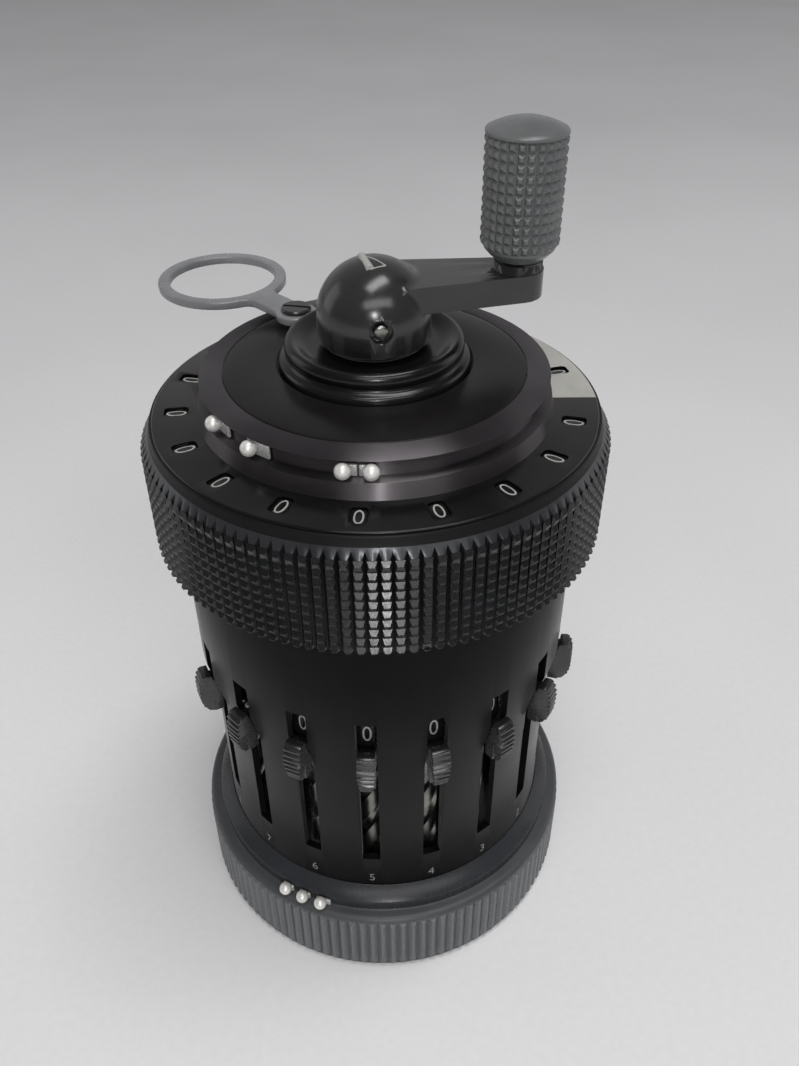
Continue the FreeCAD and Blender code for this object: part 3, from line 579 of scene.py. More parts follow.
def makeBasePlate():
    size = plate
    bottom = turned("basePlate", [
        (0, 0), (size["radius"], 0), (size["radius"], size["thickness"]),
        (size["bossRadius"], size["thickness"]), (size["bossRadius"], size["bossTop"]),
        (size["bore"], size["bossTop"]), (size["bore"], size["boreFloor"]), (0, size["boreFloor"]),
    ], steps=160, rounding=size["rounding"])
    wellRadius, depth = size["screwRadius"] + size["wellRoom"], size["wellDepth"]
    heads = []
    for number in range(size["screws"]):
        azimuth = size["firstScrew"] + 360 / size["screws"] * number
        place = aroundAxis(azimuth) @ shift(x=size["screwCircle"])
        well = turned("screwWell", [(0, -overrun), (wellRadius, -overrun), (wellRadius, depth),
                                    (0, depth)], steps=40)
        well.data.transform(place)
        cut(bottom, well)
        head = screw("baseScrew", size["screwRadius"], 0.0, size["headHeight"])
        head.data.transform(place @ shift(z=depth) @ Matrix.Rotation(math.pi, 4, "X"))
        heads.append(head)
    smooth(bottom)
    dress(bottom, finishes["baseEnamelPaintedLight"], "black_enamel", "body", "base_plate")
    dress(joined("baseScrews", heads), finishes["brightSteel"], "steel", "body")


makeBase()
makeBasePlate()
print("base made")


# sleeve with its slots and the slot numerals

columns = {"zero": -3.3, "pitch": 20.0, "sliders": [4, 3, 2, 1, 0, -1, -2, -3]}
sleeve = {
    "bore": 21.6, "radius": 22.5, "bandBore": 22.7, "bandRadius": 23.6, "bottom": 10.4,
    "flareBottom": 37.0, "flareTop": 42.0, "top": 59.9, "wallRounding": 0.15, "rounding": 0.05,
    "slotWidth": 2.3, "slotBottom": 19.7, "slotTop": 46.4, "windowWidth": 2.5, "skin": 0.05,
    "leverAzimuth": 150.0, "leverSlot": (47.5, 54.3),
    "numeralHeight": 15.7, "numeralSize": 1.5, "squeeze": 0.9, "stroke": -0.02,
}


def columnAzimuth(index):
    return columns["zero"] + columns["pitch"] * index


def makeSleeve():
    size = sleeve
    shell = turned("bodySleeve", [
        (size["bore"], size["bottom"]), (size["radius"], size["bottom"]),
        (size["radius"], size["flareBottom"]), (size["bandRadius"], size["flareTop"]),
        (size["bandRadius"], size["top"]), (size["bandBore"], size["top"]),
        (size["bandBore"], size["flareTop"]), (size["bore"], size["flareBottom"]),
    ], rounding=size["wallRounding"])
    half = size["slotWidth"] / 2
    inside, outside = size["bore"] - 2 * overrun, size["bandRadius"] + 2 * overrun
    slot = block("slot", (inside, -half, size["slotBottom"]), (outside, half, size["slotTop"]))
    window = block("window", (size["bandBore"] - size["skin"], -half, size["flareTop"]),
                   (size["bandRadius"] + size["skin"], half, size["slotTop"]))
    # the windows in the band widen outwards
    editFaces(window, lambda face: face.normal.x > facing)
    bpy.ops.transform.resize(value=(1, size["windowWidth"] / size["slotWidth"], 1),
                             center_override=(0, 0, 0))
    clearSelection()
    for source in (slot, window):
        openings = []
        for index in columns["sliders"]:
            opening = copyOf(source, "opening")
            opening.data.transform(aroundAxis(columnAzimuth(index)))
            openings.append(opening)
        bpy.data.objects.remove(source)
        cut(shell, joined("openings", openings))
    low, high = size["leverSlot"]
    leverSlot = block("leverSlot", (inside, -half, low), (outside, half, high))
    leverSlot.data.transform(aroundAxis(size["leverAzimuth"]))
    cut(shell, leverSlot)
    roundEdges(shell, size["rounding"], segments=1, angle=40)
    smooth(shell, 30)
    dress(shell, finishes["sleeveEnamel"], "black_enamel", "body", "body_sleeve")
    numerals = []
    for number, index in enumerate(columns["sliders"], 1):
        mark = numeral(str(number), size["numeralSize"], size["squeeze"], size["stroke"],
                       size["radius"])
        place = aroundAxis(columnAzimuth(index)) @ shift(z=size["numeralHeight"])
        mark.data.transform(place)
        numerals.append(mark)
    dress(joined("slotNumerals", numerals), finishes["scalePaint"], "black_enamel", "body")


makeSleeve()
print("sleeve made")


# setting shafts and sliders

shaft = {
    "circle": 19.0, "radius": 1.65, "depth": 0.55, "starts": 3, "lead": 20.0, "bottom": 17.7,
    "top": 41.0, "nib": 38.8, "levels": 70, "journal": 0.7, "footBottom": 10.4, "headTop": 57.5,
    "grooveShares": (-0.16, 0.16), "landShares": (0.22, 0.36, 0.5, 0.64, 0.78), "seam": 0.1,
    "drumRadius": 3.14, "drumHeight": 5.8, "drumEdge": (0.06, 0.08), "proud": 0.01,
    "digitHeight": 43.45, "digitSize": 2.6, "squeeze": 0.7, "stroke": -0.03,
}
digitCount = 10
slider = {"rounding": 0.05}


def makeShafts():
    size = shaft
    floor = size["radius"] - size["depth"]
    corners = []
    for start in range(size["starts"]):
        for shares, radius in ((size["grooveShares"], floor), (size["landShares"], size["radius"])):
            for share in shares:
                corners.append((radius, fullTurn * (start + share) / size["starts"]))
    clearSelection()
    bpy.ops.mesh.primitive_circle_add(vertices=len(corners), radius=size["radius"] * mm,
                                      fill_type="NGON", location=(0, 0, 0))
    helix = nameNew("settingHelix")
    firstTurn = fullTurn * (size["bottom"] - size["nib"]) / size["lead"]
    for vertex, (radius, angle) in zip(helix.data.vertices, corners):
        turn = angle + firstTurn
        vertex.co = (radius * mm * math.cos(turn), radius * mm * math.sin(turn),
                     size["bottom"] * mm)
    editAll(helix)
    rise = (size["top"] - size["bottom"]) / size["levels"]
    for level in range(size["levels"]):
        bpy.ops.mesh.extrude_region_move(TRANSFORM_OT_translate={"value": (0, 0, rise * mm)})
        bpy.ops.transform.rotate(value=-fullTurn * rise / size["lead"], orient_axis="Z",
                                 center_override=(0, 0, 0))
    bpy.ops.object.mode_set(mode="OBJECT")
    cleanUp(helix)
    journal, footTop = size["journal"], size["bottom"] + size["seam"]
    foot = turned("settingFoot", [(0, size["footBottom"]), (journal, size["footBottom"]),
                                  (journal, footTop), (0, footTop)], steps=24)
    low, high = size["top"], size["top"] + size["drumHeight"]
    inset, ease = size["drumEdge"]
    drum = turned("settingDrum", [
        (0, low), (size["drumRadius"] - inset, low), (size["drumRadius"], low + ease),
        (size["drumRadius"], high - ease), (size["drumRadius"] - inset, high),
        (journal, high), (journal, size["headTop"]), (0, size["headTop"])], steps=60)
    digits = []
    for number in range(digitCount):
        mark = numeral(str(number), size["digitSize"], size["squeeze"], size["stroke"],
                       size["drumRadius"] + size["proud"])
        # the drum turns anticlockwise as the knob goes down, so the digits follow clockwise
        turn = Matrix.Rotation(-fullTurn * number / digitCount, 4, "Z")
        mark.data.transform(turn @ shift(z=size["digitHeight"]))
        digits.append(mark)
    ring = joined("settingDigits", digits)
    spindle = joined("settingSpindle", [helix, foot])
    smooth(spindle, 40)
    smooth(drum)
    for number, index in enumerate(columns["sliders"], 1):
        place = aroundAxis(columnAzimuth(index)) @ shift(x=size["circle"])
        node = "setting_shaft_%d" % number
        pieces = [copyOf(source, source.name + str(number)) for source in (spindle, drum, ring)]
        for piece in pieces:
            piece.data.transform(place)
        dress(pieces[0], finishes["shaftSteel"], "shaft_steel", node + "_body", node)
        dress(pieces[1], finishes["drumBlack"], "dial_black", node + "_body")
        dress(pieces[2], finishes["digitPaint"], "dial_black", node + "_body")
    for source in (spindle, drum, ring):
        bpy.data.objects.remove(source)


def makeSliders():
    for number in range(1, len(columns["sliders"]) + 1):
        node = "setting_slider_%d" % number
        knob = fromNode(node, "settingSlider%d" % number, slider["rounding"], angle=30)
        dress(knob, finishes["sliderBlack"], "black_slider", node + "_body", node)


makeShafts()
makeSliders()
print("sliders and shafts made")


# carriage: knurled ring, dial cover, dials

ring = {
    "root": 26.15, "depth": 0.34, "bottom": 60.3, "columns": 124, "rows": 9, "pitch": 1.21,
    "rowsTop": 70.6, "cellWidth": 0.96, "ridge": (0.56, 0.13), "topDrop": 0.16, "easing": 0.15,
    "shoulder": 72.02, "slopeTop": (25.5, 73.1), "peak": 0.72, "trim": 0.02, "rounding": 0.04,
    "rim": [(25.27, 73.95), (25.17, 74.2), (24.93, 74.2), (24.93, 73.2)],
    "bore": 24.2, "seat": 73.2, "floor": 16.6, "floorTop": 61.9,
    # the shoulder's paint begins that far over it, on faces that look up by that much
    "shoulderPaint": 0.05, "shoulderFacing": 0.4,
}


def makeCarriageRing():
    size = ring
    root, ease = size["root"], size["easing"]
    body = turned("carriageRing", [
        (size["floor"], size["bottom"]), (root - ease, size["bottom"]),
        (root, size["bottom"] + ease), (root, size["shoulder"]), size["slopeTop"],
    ] + size["rim"] + [
        (size["bore"], size["seat"]), (size["bore"], size["floorTop"]),
        (size["floor"], size["floorTop"])], steps=4 * size["columns"], rounding=size["rounding"])
    # the gaps between the columns run out on the shoulder as small peaks: the shoulder's points
    # in the middle of each gap move up and inwards along the slope
    period = fullTurn / size["columns"]
    topRadius, topHeight = size["slopeTop"]
    rise = size["peak"] * (topHeight - size["shoulder"])
    narrow = 1 - size["peak"] * (root - topRadius) / root
    editAll(body)
    bpy.ops.mesh.select_mode(type="VERT")
    bpy.ops.mesh.select_all(action="DESELECT")
    bpy.ops.object.mode_set(mode="OBJECT")
    for corner in body.data.vertices:
        turn = math.atan2(corner.co.y, corner.co.x) / period
        outside = math.hypot(corner.co.x, corner.co.y) > (root - ease) * mm
        onShoulder = outside and abs(corner.co.z / mm - size["shoulder"]) < 1.5 * size["rounding"]
        corner.select = onShoulder and abs(turn - math.floor(turn) - 0.5) < 0.1
    bpy.ops.object.mode_set(mode="EDIT")
    bpy.ops.transform.translate(value=(0, 0, rise * mm))
    bpy.ops.transform.resize(value=(narrow, narrow, 1), center_override=(0, 0, 0))
    bpy.ops.object.mode_set(mode="OBJECT")
    levels = [size["rowsTop"] - size["pitch"] * (size["rows"] - row)
              for row in range(size["rows"] + 1)]
    knurl = knurled("carriageKnurl", levels + [size["shoulder"]], size["columns"], root,
                    size["depth"], size["cellWidth"], size["ridge"], size["topDrop"])
    # the lowest row is cut off level with the ring's foot
    editAll(knurl)
    bpy.ops.mesh.bisect(plane_co=(0, 0, (size["bottom"] + size["trim"]) * mm), plane_no=(0, 0, 1),
                        clear_inner=True, use_fill=True)
    bpy.ops.object.mode_set(mode="OBJECT")
    whole = joined("carriageRing", [body, knurl])
    smooth(whole, 25)
    dress(whole, finishes["knurlBlack"], "black_enamel", "carriage", "carriage_ring")
    whole.data.materials.append(finishes["grooveOxideAndShade"])
    whole.data.materials.append(finishes["shoulderBlack"])
    # faces down between the columns get the grooves' darker finish: partly oxide, partly painted
    # shade
    for face in whole.data.polygons:
        out = math.hypot(face.center.x, face.center.y) / mm
        above = face.center.z / mm > size["shoulder"] + size["shoulderPaint"]
        if above and face.normal.z > size["shoulderFacing"] and out > topRadius:
            face.material_index = 2
        elif out < root + slack:
            face.material_index = 1


cover = {
    "radius": 24.9, "rimBottom": 73.2, "rimBore": 24.3, "top": 74.45, "plate": 0.2, "middle": 19.9,
    "footEdge": (0.08, 0.1), "topEdge": 0.12,
    "slopes": [(19.9, 74.45), (19.55, 76.3), (18.3, 76.4), (18.3, 78.4), (19.25, 78.48),
               (19.25, 78.6), (16.7, 79.0)],
    "inside": [(16.62, 77.4), (12.15, 77.4), (12.15, 76.1), (17.3, 76.1)], "rounding": 0.05,
    "windowWidth": 1.8, "windowLength": 2.7, "windowRadius": 22.2, "windowZone": (20.4, 24.0),
    "corner": 0.5,
}
dial = {
    "axis": 71.1, "radius": 3.115, "length": 2.5, "edge": (0.04, 0.05), "proud": 0.008,
    "digitSize": 2.40, "squeeze": 0.78, "stroke": -0.045,
    "result": [4, 3, 2, 1, 0, -1, -2, -3, -4, -5, -6], "counter": [5.5, 6.5, 7.5, 8.5, 9.5, 10.5],
}


def makeCover():
    size = cover
    radius, top = size["radius"], size["top"]
    under, ease = top - size["plate"], size["topEdge"]
    inset, rise = size["footEdge"]
    piece = turned("dialCover", [
        (radius - inset, size["rimBottom"]), (radius, size["rimBottom"] + rise),
        (radius, top - ease), (radius - ease, top)] + size["slopes"] + size["inside"] + [
        (size["inside"][-1][0], under), (size["rimBore"], under),
        (size["rimBore"], size["rimBottom"])], steps=288, rounding=size["rounding"])
    middle = size["windowRadius"]
    halfLength, halfWidth = size["windowLength"] / 2, size["windowWidth"] / 2
    window = block("window", (middle - halfLength, -halfWidth, under - overrun),
                   (middle + halfLength, halfWidth, top + overrun))
    editAll(window)
    bpy.ops.mesh.select_mode(type="EDGE")
    bpy.ops.mesh.select_all(action="DESELECT")
    bpy.ops.object.mode_set(mode="OBJECT")
    for edge in window.data.edges:
        low, high = (window.data.vertices[corner].co for corner in edge.vertices)
        edge.select = abs(low.z - high.z) > overrun * mm
    bpy.ops.object.mode_set(mode="EDIT")
    bpy.ops.mesh.bevel(offset=size["corner"] * mm, segments=4)
    bpy.ops.object.mode_set(mode="OBJECT")
    windows = []
    for index in dial["result"] + dial["counter"]:
        opening = copyOf(window, "window")
        opening.data.transform(aroundAxis(columnAzimuth(index)))
        windows.append(opening)
    bpy.data.objects.remove(window)
    cut(piece, joined("windows", windows))
    smooth(piece, 30)
    dress(piece, finishes["coverEnamel"], "black_gloss", "carriage", "dial_cover")
    piece.data.materials.append(finishes["turnedBlack"])
    piece.data.materials.append(finishes["grooveOxideAndShade"])
    low, high = size["windowZone"]
    # the windows' walls get the grooves' darker finish as painted shade in the openings
    for face in piece.data.polygons:
        place = face.center / mm
        out = math.hypot(place.x, place.y)
        onSlopes = size["slopes"][-1][0] < out < size["middle"] + slack / 2
        inWindow = low < out < high and under - slack < place.z < top - slack
        if onSlopes and place.z > top + slack:
            face.material_index = 1
        elif inWindow:
            face.material_index = 2


def makeDials():
    size = dial
    radius, half = size["radius"], size["length"] / 2
    inset, ease = size["edge"]
    drum = turned("dialDrum", [
        (0, -half), (radius - inset, -half), (radius, -half + ease), (radius, half - ease),
        (radius - inset, half), (0, half)], steps=60)
    smooth(drum)
    digits = []
    for number in range(digitCount):
        mark = numeral(str(number), size["digitSize"], size["squeeze"], size["stroke"],
                       radius + size["proud"])
        mark.data.transform(Matrix.Rotation(fullTurn * number / digitCount, 4, "Z"))
        digits.append(mark)
    digits = joined("dialDigits", digits)
    # the dial's own axis, made along Z, is laid inwards along the radius with digit 0 on top
    lay = Matrix(((0, 0, -1, 0), (0, 1, 0, 0), (1, 0, 0, 0), (0, 0, 0, 1)))
    outward = shift(x=cover["windowRadius"], z=size["axis"])
    for kind in ("result", "counter"):
        for number, index in enumerate(size[kind], 1):
            body = "%s_dial_%d_body" % (kind, number)
            place = aroundAxis(columnAzimuth(index)) @ outward @ lay
            for source, finish, label in ((drum, "drumBlack", "Drum"),
                                          (digits, "digitPaint", "Digits")):
                piece = copyOf(source, kind + label + str(number))
                piece.data.transform(place)
                dress(piece, finishes[finish], "dial_black", body)
    bpy.data.objects.remove(drum)
    bpy.data.objects.remove(digits)


makeCarriageRing()
makeCover()
makeDials()
print("carriage made")


# clearing disc, its loop and the loop's screw

clearing = {
    "bore": 10.75, "radius": 16.6, "bottom": 77.5, "edge": 79.0, "hub": 79.58, "easing": 0.05,
    "band": 0.5, "hubEdge": 0.15, "rounding": 0.03, "loopRounding": 0.22,
    "pivotCircle": 13.2, "pivotAzimuth": -135.3, "pivotRadius": 1.0, "pivotTop": 81.0,
    "headRadius": 1.75, "headBottom": 80.95, "headTop": 81.45, "slotTurn": 34.3775,
    "slotWidth": 0.45, "slotDepth": 0.3,
}


def makeClearing():
    size = clearing
    bore, radius, ease = size["bore"], size["radius"], size["easing"]
    disc = turned("clearingDisc", [
        (bore, size["bottom"]), (radius, size["bottom"]), (radius, size["edge"] - ease),
        (radius - ease, size["edge"]), (radius - size["band"], size["edge"] + ease),
        (bore + size["hubEdge"], size["hub"]), (bore, size["hub"] - ease)],
        rounding=size["rounding"])
    smooth(disc)
    dress(disc, finishes["discEnamel"], "black_gloss", "clearing", "clearing_disc")
    stud = turned("loopStud", [
        (0, size["edge"]), (size["pivotRadius"], size["edge"]),
        (size["pivotRadius"], size["pivotTop"]), (0, size["pivotTop"])], steps=32)
    head = screw("loopScrew", size["headRadius"], size["headBottom"], size["headTop"],
                 size["slotWidth"], size["slotDepth"])
    pivot = joined("loopScrew", [head, stud])
    place = aroundAxis(size["pivotAzimuth"]) @ shift(x=size["pivotCircle"])
    pivot.data.transform(place @ Matrix.Rotation(math.radians(size["slotTurn"]), 4, "Z"))
    dress(pivot, finishes["glossEnamel"], "black_metal", "clearing")
    loop = fromNode("clearing_loop", "clearingLoop", size["loopRounding"], segments=3)
    # the loop's finish carries a painted reflection
    dress(loop, finishes["loopEnamelPaintedReflection"], "black_metal", "loop", "clearing_loop")


makeClearing()
print("clearing disc and loop made")


# collar, crank and handle

collar = {"outline": [      # (radius, height) from the tube's foot over the dished top
    (9.05, 57.5), (10.45, 57.5), (10.45, 79.9), (10.38, 80.15), (10.15, 80.3), (9.85, 80.4),
    (9.6, 80.7), (9.62, 80.9), (9.76, 81.05), (9.78, 81.5), (9.7, 81.85), (9.55, 82.15),
    (9.35, 82.33), (9.1, 82.4), (8.85, 82.36), (8.3, 82.0), (7.8, 81.65), (7.4, 81.45),
    (7.0, 81.4), (3.05, 81.4), (3.05, 77.3), (9.05, 77.3)]}
crank = {
    "azimuth": 98.4, "length": 15.4, "domeRadius": 6.15, "domeCentre": 84.75, "rounding": 0.28,
    "mark": [(-1.22, 0.90), (1.34, -1.42), (-0.20, -2.16)], "markWidth": 0.10, "thickSide": 0.44,
    "markSunk": 0.6, "markCuts": 9,
}
pin = {"radius": 0.76, "reach": 6.04, "height": 85.3,
       "end": [(0.6, 0.03), (0.9, 0.09), (1.0, 0.2)]}      # (share of the radius, step back)
handle = {
    "root": 3.8, "depth": 0.33, "bottom": 90.1, "foot": [(2.6, 90.1), (3.2, 90.6), (3.75, 91.2)],
    "knurlBottom": 91.5, "knurlTop": 102.5, "columns": 26, "rows": 11, "cellWidth": 0.82,
    "ridge": (0.34, 0.34), "bore": 1.25, "boreTop": 99.0,
    "cap": [(4.09, 102.5), (4.15, 102.58), (4.15, 102.78), (4.05, 102.9), (3.6, 103.12),
            (2.9, 103.42), (2.0, 103.7), (1.0, 103.87), (0.0, 103.92)],
}


def makeCollar():
    piece = turned("topCollar", collar["outline"])
    smooth(piece, 50)
    dress(piece, finishes["collarEnamel"], "black_gloss", "body", "top_collar")


def markStroke(first, second, width):
    # a painted stroke that follows the dome between two corners of the mark
    radius = crank["domeRadius"]
    ends = [(x, y, math.sqrt(radius ** 2 - x * x - y * y)) for x, y in (first, second)]
    stroke = drawn("markStroke", ends)
    bpy.ops.mesh.subdivide(number_cuts=crank["markCuts"])
    bpy.ops.object.mode_set(mode="OBJECT")
    pickOnly(stroke)
    bpy.ops.object.modifier_add(type="CAST")
    cast = stroke.modifiers[-1]
    cast.factor = 1.0
    cast.use_radius_as_size = True
    cast.radius = (radius - crank["markSunk"] * width) * mm
    applyAll(stroke)
    bpy.ops.object.convert(target="CURVE")
    bpy.context.object.data.bevel_depth = width * mm
    bpy.context.object.data.bevel_resolution = 2
    bpy.context.object.data.use_fill_caps = True
    bpy.ops.object.convert(target="MESH")
    stroke = bpy.context.object
    stroke.data.transform(shift(z=crank["domeCentre"]))
    return stroke


def makeCrank():
    size = crank
    arm = fromNode("crank_arm", "crankArm", size["rounding"], angle=40, segments=3)
    dress(arm, finishes["glossEnamel"], "black_metal", "crank", "crank_arm")
    back, right, front = size["mark"]
    thin = size["markWidth"]
    strokes = [markStroke(back, right, thin), markStroke(right, front, thin),
               markStroke(front, back, size["thickSide"])]
    mark = joined("hubMark", strokes)
    smooth(mark, 60)
    dress(mark, finishes["digitPaint"], "black_metal", "crank")
    reach, radius = pin["reach"], pin["radius"]
    lower = [(share * radius, -reach + step) for share, step in pin["end"]]
    upper = [(share * radius, reach - step) for share, step in reversed(pin["end"])]
    across = turned("hubPin", [(0, -reach)] + lower + upper + [(0, reach)], steps=40)
    across.data.transform(shift(z=pin["height"])
                          @ Matrix.Rotation(math.radians(size["azimuth"]), 4, "Z")
                          @ Matrix.Rotation(math.pi / 2, 4, "Y"))
    smooth(across, 60)
    dress(across, finishes["shaftSteel"], "steel", "crank", "cross_pin")


def makeHandle():
    size = handle
    root, low, top = size["root"], size["knurlBottom"], size["knurlTop"]
    body = turned("crankHandle", [(size["bore"], size["bottom"])] + size["foot"] + [
        (root, low), (root, top)] + size["cap"] + [
        (0.0, size["boreTop"]), (size["bore"], size["boreTop"])], steps=96)
    pitch = (top - low) / size["rows"]
    levels = [low + pitch * row for row in range(size["rows"] + 1)]
    knurl = knurled("handleKnurl", levels, size["columns"], root, size["depth"],
                    size["cellWidth"], size["ridge"])
    whole = joined("crankHandle", [body, knurl])
    whole.data.transform(aroundAxis(crank["azimuth"]) @ shift(x=crank["length"]))
    smooth(whole, 25)
    dress(whole, finishes["handleBlack"], "black_handle", "handle", "crank_handle")


makeCollar()
makeCrank()
makeHandle()
print("crank made")


# decimal markers: a bead on a curved spring clip

markers = {
    # each clip is (its left end, its right end, its height), the ends measured from the bead
    "top": {"azimuths": [-58.3, -39.4, -8.4, -0.2], "bead": 0.86, "beadPlace": (19.35, 77.4),
            "clip": 18.4, "clipBottom": 76.5,
            "clips": [(-0.8, 2.1, 1.75), (-0.8, 2.1, 1.75), (-0.5, 1.3, 1.3), (-1.2, 0.5, 1.3)]},
    "base": {"azimuths": [-30.7, -24.8, -18.9], "bead": 0.84, "beadPlace": (25.4, 12.3),
             "clip": 24.5, "clipBottom": 11.4,
             "clips": [(-0.8, 0.8, 1.0), (-0.8, 0.8, 1.0), (-0.8, 1.2, 1.0)]},
}
spring = {"steps": 10, "thickness": 0.35, "offset": 0.18, "rounding": 0.12}
beadSteps = 14


def makeClip(size, low, high, height):
    # a curved strip along the groove, low and high are its ends beside the bead
    turns = [(low + (high - low) * step / spring["steps"]) / size["clip"]
             for step in range(spring["steps"] + 1)]
    clip = drawn("clip", [(size["clip"] * math.cos(turn), size["clip"] * math.sin(turn),
                           size["clipBottom"]) for turn in turns])
    bpy.ops.mesh.extrude_edges_move(TRANSFORM_OT_translate={"value": (0, 0, height * mm)})
    bpy.ops.object.mode_set(mode="OBJECT")
    pickOnly(clip)
    bpy.ops.object.modifier_add(type="SOLIDIFY")
    clip.modifiers[-1].thickness = spring["thickness"] * mm
    clip.modifiers[-1].offset = 0.0
    applyAll(clip)
    cleanUp(clip)
    clip.data.transform(shift(x=spring["offset"]))
    roundEdges(clip, spring["rounding"], segments=3, angle=40)
    smooth(clip)
    return clip


def makeMarkers():
    for kind, size in markers.items():
        radius = size["bead"]
        turns = [math.pi * step / beadSteps for step in range(1, beadSteps)]
        arc = [(radius * math.sin(turn), -radius * math.cos(turn)) for turn in turns]
        bead = turned("bead", [(0, -radius)] + arc + [(0, radius)], steps=2 * beadSteps)
        bead.data.transform(shift(x=size["beadPlace"][0], z=size["beadPlace"][1]))
        smooth(bead, 80)
        for number, (azimuth, span) in enumerate(zip(size["azimuths"], size["clips"]), 1):
            node = "%s_marker_%d" % (kind, number)
            ball = copyOf(bead, kind + "Bead" + str(number))
            clip = makeClip(size, *span)
            clip.name = clip.data.name = kind + "Clip" + str(number)
            for piece in (ball, clip):
                piece.data.transform(aroundAxis(azimuth))
            dress(ball, finishes["beadSteel"], "marker_steel", node + "_body", node)
            dress(clip, finishes["clipSteel"], "marker_steel", node + "_body")
        bpy.data.objects.remove(bead)


makeMarkers()
print("markers made")


# inner pieces and the lever at the back

lever = {"rounding": 0.25}


def makeLever():
    piece = fromNode("reversing_lever", "reversingLever", lever["rounding"], segments=3)
    dress(piece, finishes["brightSteel"], "steel", "lever", "reversing_lever")


makeLever()

# these nodes keep their CAD shape and only get a finish
plain = {
    "turnedAlloy": ["lower_bearing_plate", "upper_bearing_plate", "step_drum", "carriage_bush",
                    "dial_frame"],
    "brightSteel": ["transmission_shafts", "ratchet_wheel", "main_shaft"],
    "drumBlack": ["%s_dial_%d" % (kind, number) for kind in ("result", "counter")
                  for number in range(1, len(dial[kind]) + 1)],
}
for finish, nodes in plain.items():
    for node in nodes:
        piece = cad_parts[node]
        piece.data.materials.clear()
        piece.data.materials.append(finishes[finish])
print("inner pieces finished")


# floor, light and camera

studio = {
    # the floor's colour is painted lighter near and darker far: painted light and shade
    "floorSize": 6, "floorNear": (0.84, 0.835, 0.84), "floorFar": (0.55, 0.55, 0.56),
    "nearY": -0.10, "farY": 0.40, "floorRoughness": 0.9,
    # each pattern of the cloth is (its scale, its detail, its span, its darkest shade)
    # the fold pattern is painted shade of folds in the cloth, which lies flat
    "weave": (900, 4.0, (0.3, 0.7), 0.96), "folds": (9, 2.0, (0.35, 0.65), 0.95),
    "world": (0.80, 0.79, 0.81), "worldFront": 0.14, "worldBack": 0.64,
    # each lamp is (its place, what it aims at, its two sides, its power)
    "lamps": {
        "ceilingLamp": ((0.12, -0.12, 1.1), (0, 0, 0.05), (0.76, 0.28), 5.5),
        "windowLamp": ((0.18, -0.80, 0.85), (0, 0, 0.06), (1.15, 0.30), 4.0),
        "frontLamp": ((0.06, -1.0, 0.47), (0, 0, 0.07), (0.36, 0.20), 0.7),
        "flashLamp": ((0.05, -1.0, 0.47), (0, 0, 0.07), (0.07, 0.12), 2.0),
        "leftLamp": ((-1.0, 0.3, 0.35), (0, 0, 0.05), (0.5, 0.7), 0.9),
        "rightLamp": ((1.0, 0.3, 0.35), (0, 0, 0.05), (0.5, 0.7), 0.9),
    },
}


def aimAt(piece, place, aim, roll=0.0):
    turn = (Vector(aim) - Vector(place)).to_track_quat("-Z", "Y").to_matrix().to_4x4()
    piece.rotation_euler = (turn @ Matrix.Rotation(math.radians(roll), 4, "Z")).to_euler()


def makeLamp(name, place, aim, sides, power):
    clearSelection()
    bpy.ops.object.light_add(type="AREA", location=place)
    lamp = bpy.context.object
    lamp.name = name
    lamp.data.shape = "RECTANGLE"
    lamp.data.size, lamp.data.size_y = sides
    lamp.data.energy = power
    aimAt(lamp, place, aim)


def alongY(nodes, links, coords, output):
    # a share of 0 to 1 along the Y of those coordinates
    parts = nodes.new("ShaderNodeSeparateXYZ")
    reach = nodes.new("ShaderNodeMapRange")
    links.new(coords.outputs[output], parts.inputs["Vector"])
    links.new(parts.outputs["Y"], reach.inputs["Value"])
    return reach


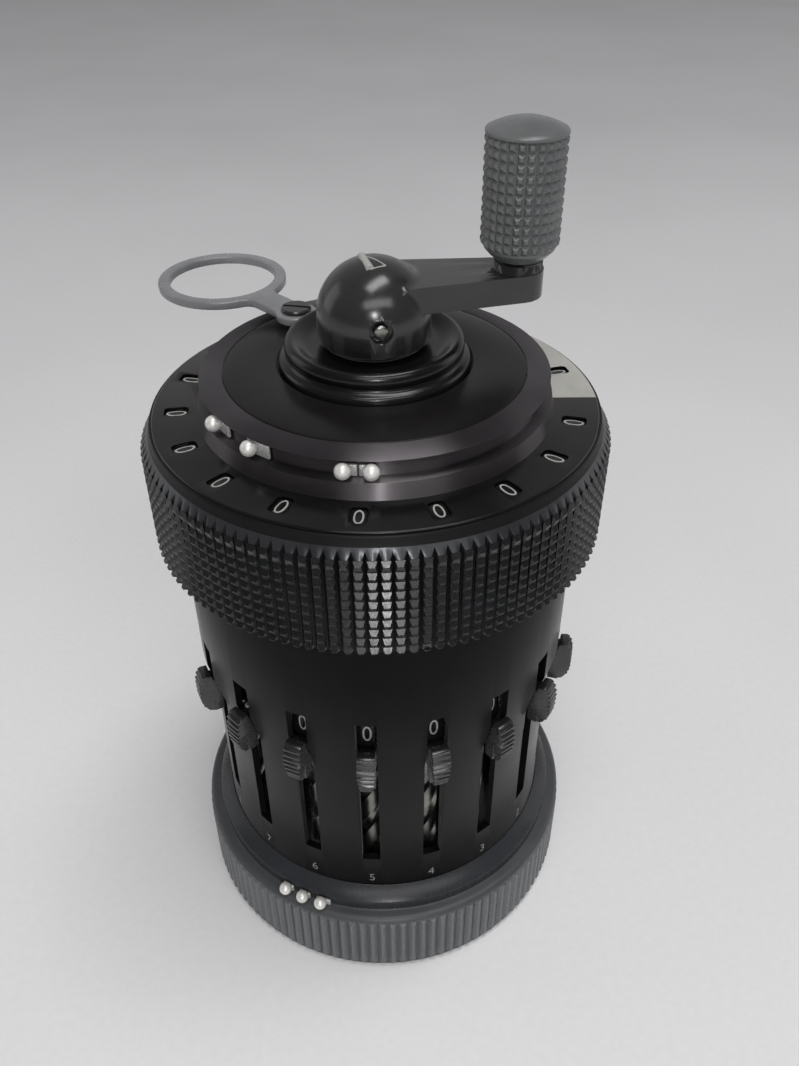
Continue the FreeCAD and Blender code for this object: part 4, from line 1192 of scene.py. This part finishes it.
def makeFloor():
    clearSelection()
    bpy.ops.mesh.primitive_plane_add(size=studio["floorSize"], location=(0, 0, 0))
    floor = nameNew("floor")
    finish, nodes, links, shader = newFinish("paleCloth")
    coords = nodes.new("ShaderNodeTexCoord")
    # painted light and shade: the colour runs from light in front to dark behind
    reach = alongY(nodes, links, coords, "Object")
    reach.inputs["From Min"].default_value = studio["nearY"]
    reach.inputs["From Max"].default_value = studio["farY"]
    paintedFalloff = rampOn(nodes, links, reach.outputs["Result"], (0.0, 1.0), studio["floorNear"],
                  studio["floorFar"])
    colour = paintedFalloff.outputs["Color"]
    # the weave is the cloth's own texture, the folds are painted shade
    for scale, detail, span, shade in (studio["weave"], studio["folds"]):
        cloth = noiseOn(nodes, links, coords, scale, detail)
        veil = rampOn(nodes, links, cloth.outputs["Fac"], span, (shade,) * 3, (1.0,) * 3)
        mix = nodes.new("ShaderNodeMixRGB")
        mix.blend_type = "MULTIPLY"
        mix.inputs["Fac"].default_value = 1.0
        links.new(colour, mix.inputs["Color1"])
        links.new(veil.outputs["Color"], mix.inputs["Color2"])
        colour = mix.outputs["Color"]
    links.new(colour, shader.inputs["Base Color"])
    shader.inputs["Roughness"].default_value = studio["floorRoughness"]
    floor.data.materials.append(finish)


def makeWorld():
    # a plain room, darker behind the camera than behind the object
    world = bpy.data.worlds.new("paleRoom")
    bpy.context.scene.world = world
    world.use_nodes = True
    nodes, links = world.node_tree.nodes, world.node_tree.links
    back = nodes["Background"]
    back.inputs["Color"].default_value = (*studio["world"], 1)
    reach = alongY(nodes, links, nodes.new("ShaderNodeTexCoord"), "Generated")
    reach.inputs["To Min"].default_value = studio["worldFront"]
    reach.inputs["To Max"].default_value = studio["worldBack"]
    links.new(reach.outputs["Result"], back.inputs["Strength"])


# the camera as it was solved from the circles in the photo
view = {"place": (2.572, -95.67, 128.45), "aim": (2.572, 0.0, 55.352), "roll": -0.372,
        "lens": 32.581, "sensor": 36, "nearest": 0.005}


def makeCamera():
    clearSelection()
    bpy.ops.object.camera_add(location=tuple(value * mm for value in view["place"]))
    camera = bpy.context.object
    camera.name = "photoCamera"
    camera.data.lens = view["lens"]
    camera.data.sensor_width = view["sensor"]
    camera.data.clip_start = view["nearest"]
    aimAt(camera, view["place"], view["aim"], view["roll"])
    bpy.context.scene.camera = camera


makeFloor()
makeWorld()
for name, lamp in studio["lamps"].items():
    makeLamp(name, *lamp)
makeCamera()
bpy.context.scene.view_settings.view_transform = "Standard"
print("floor, lamps and camera set")
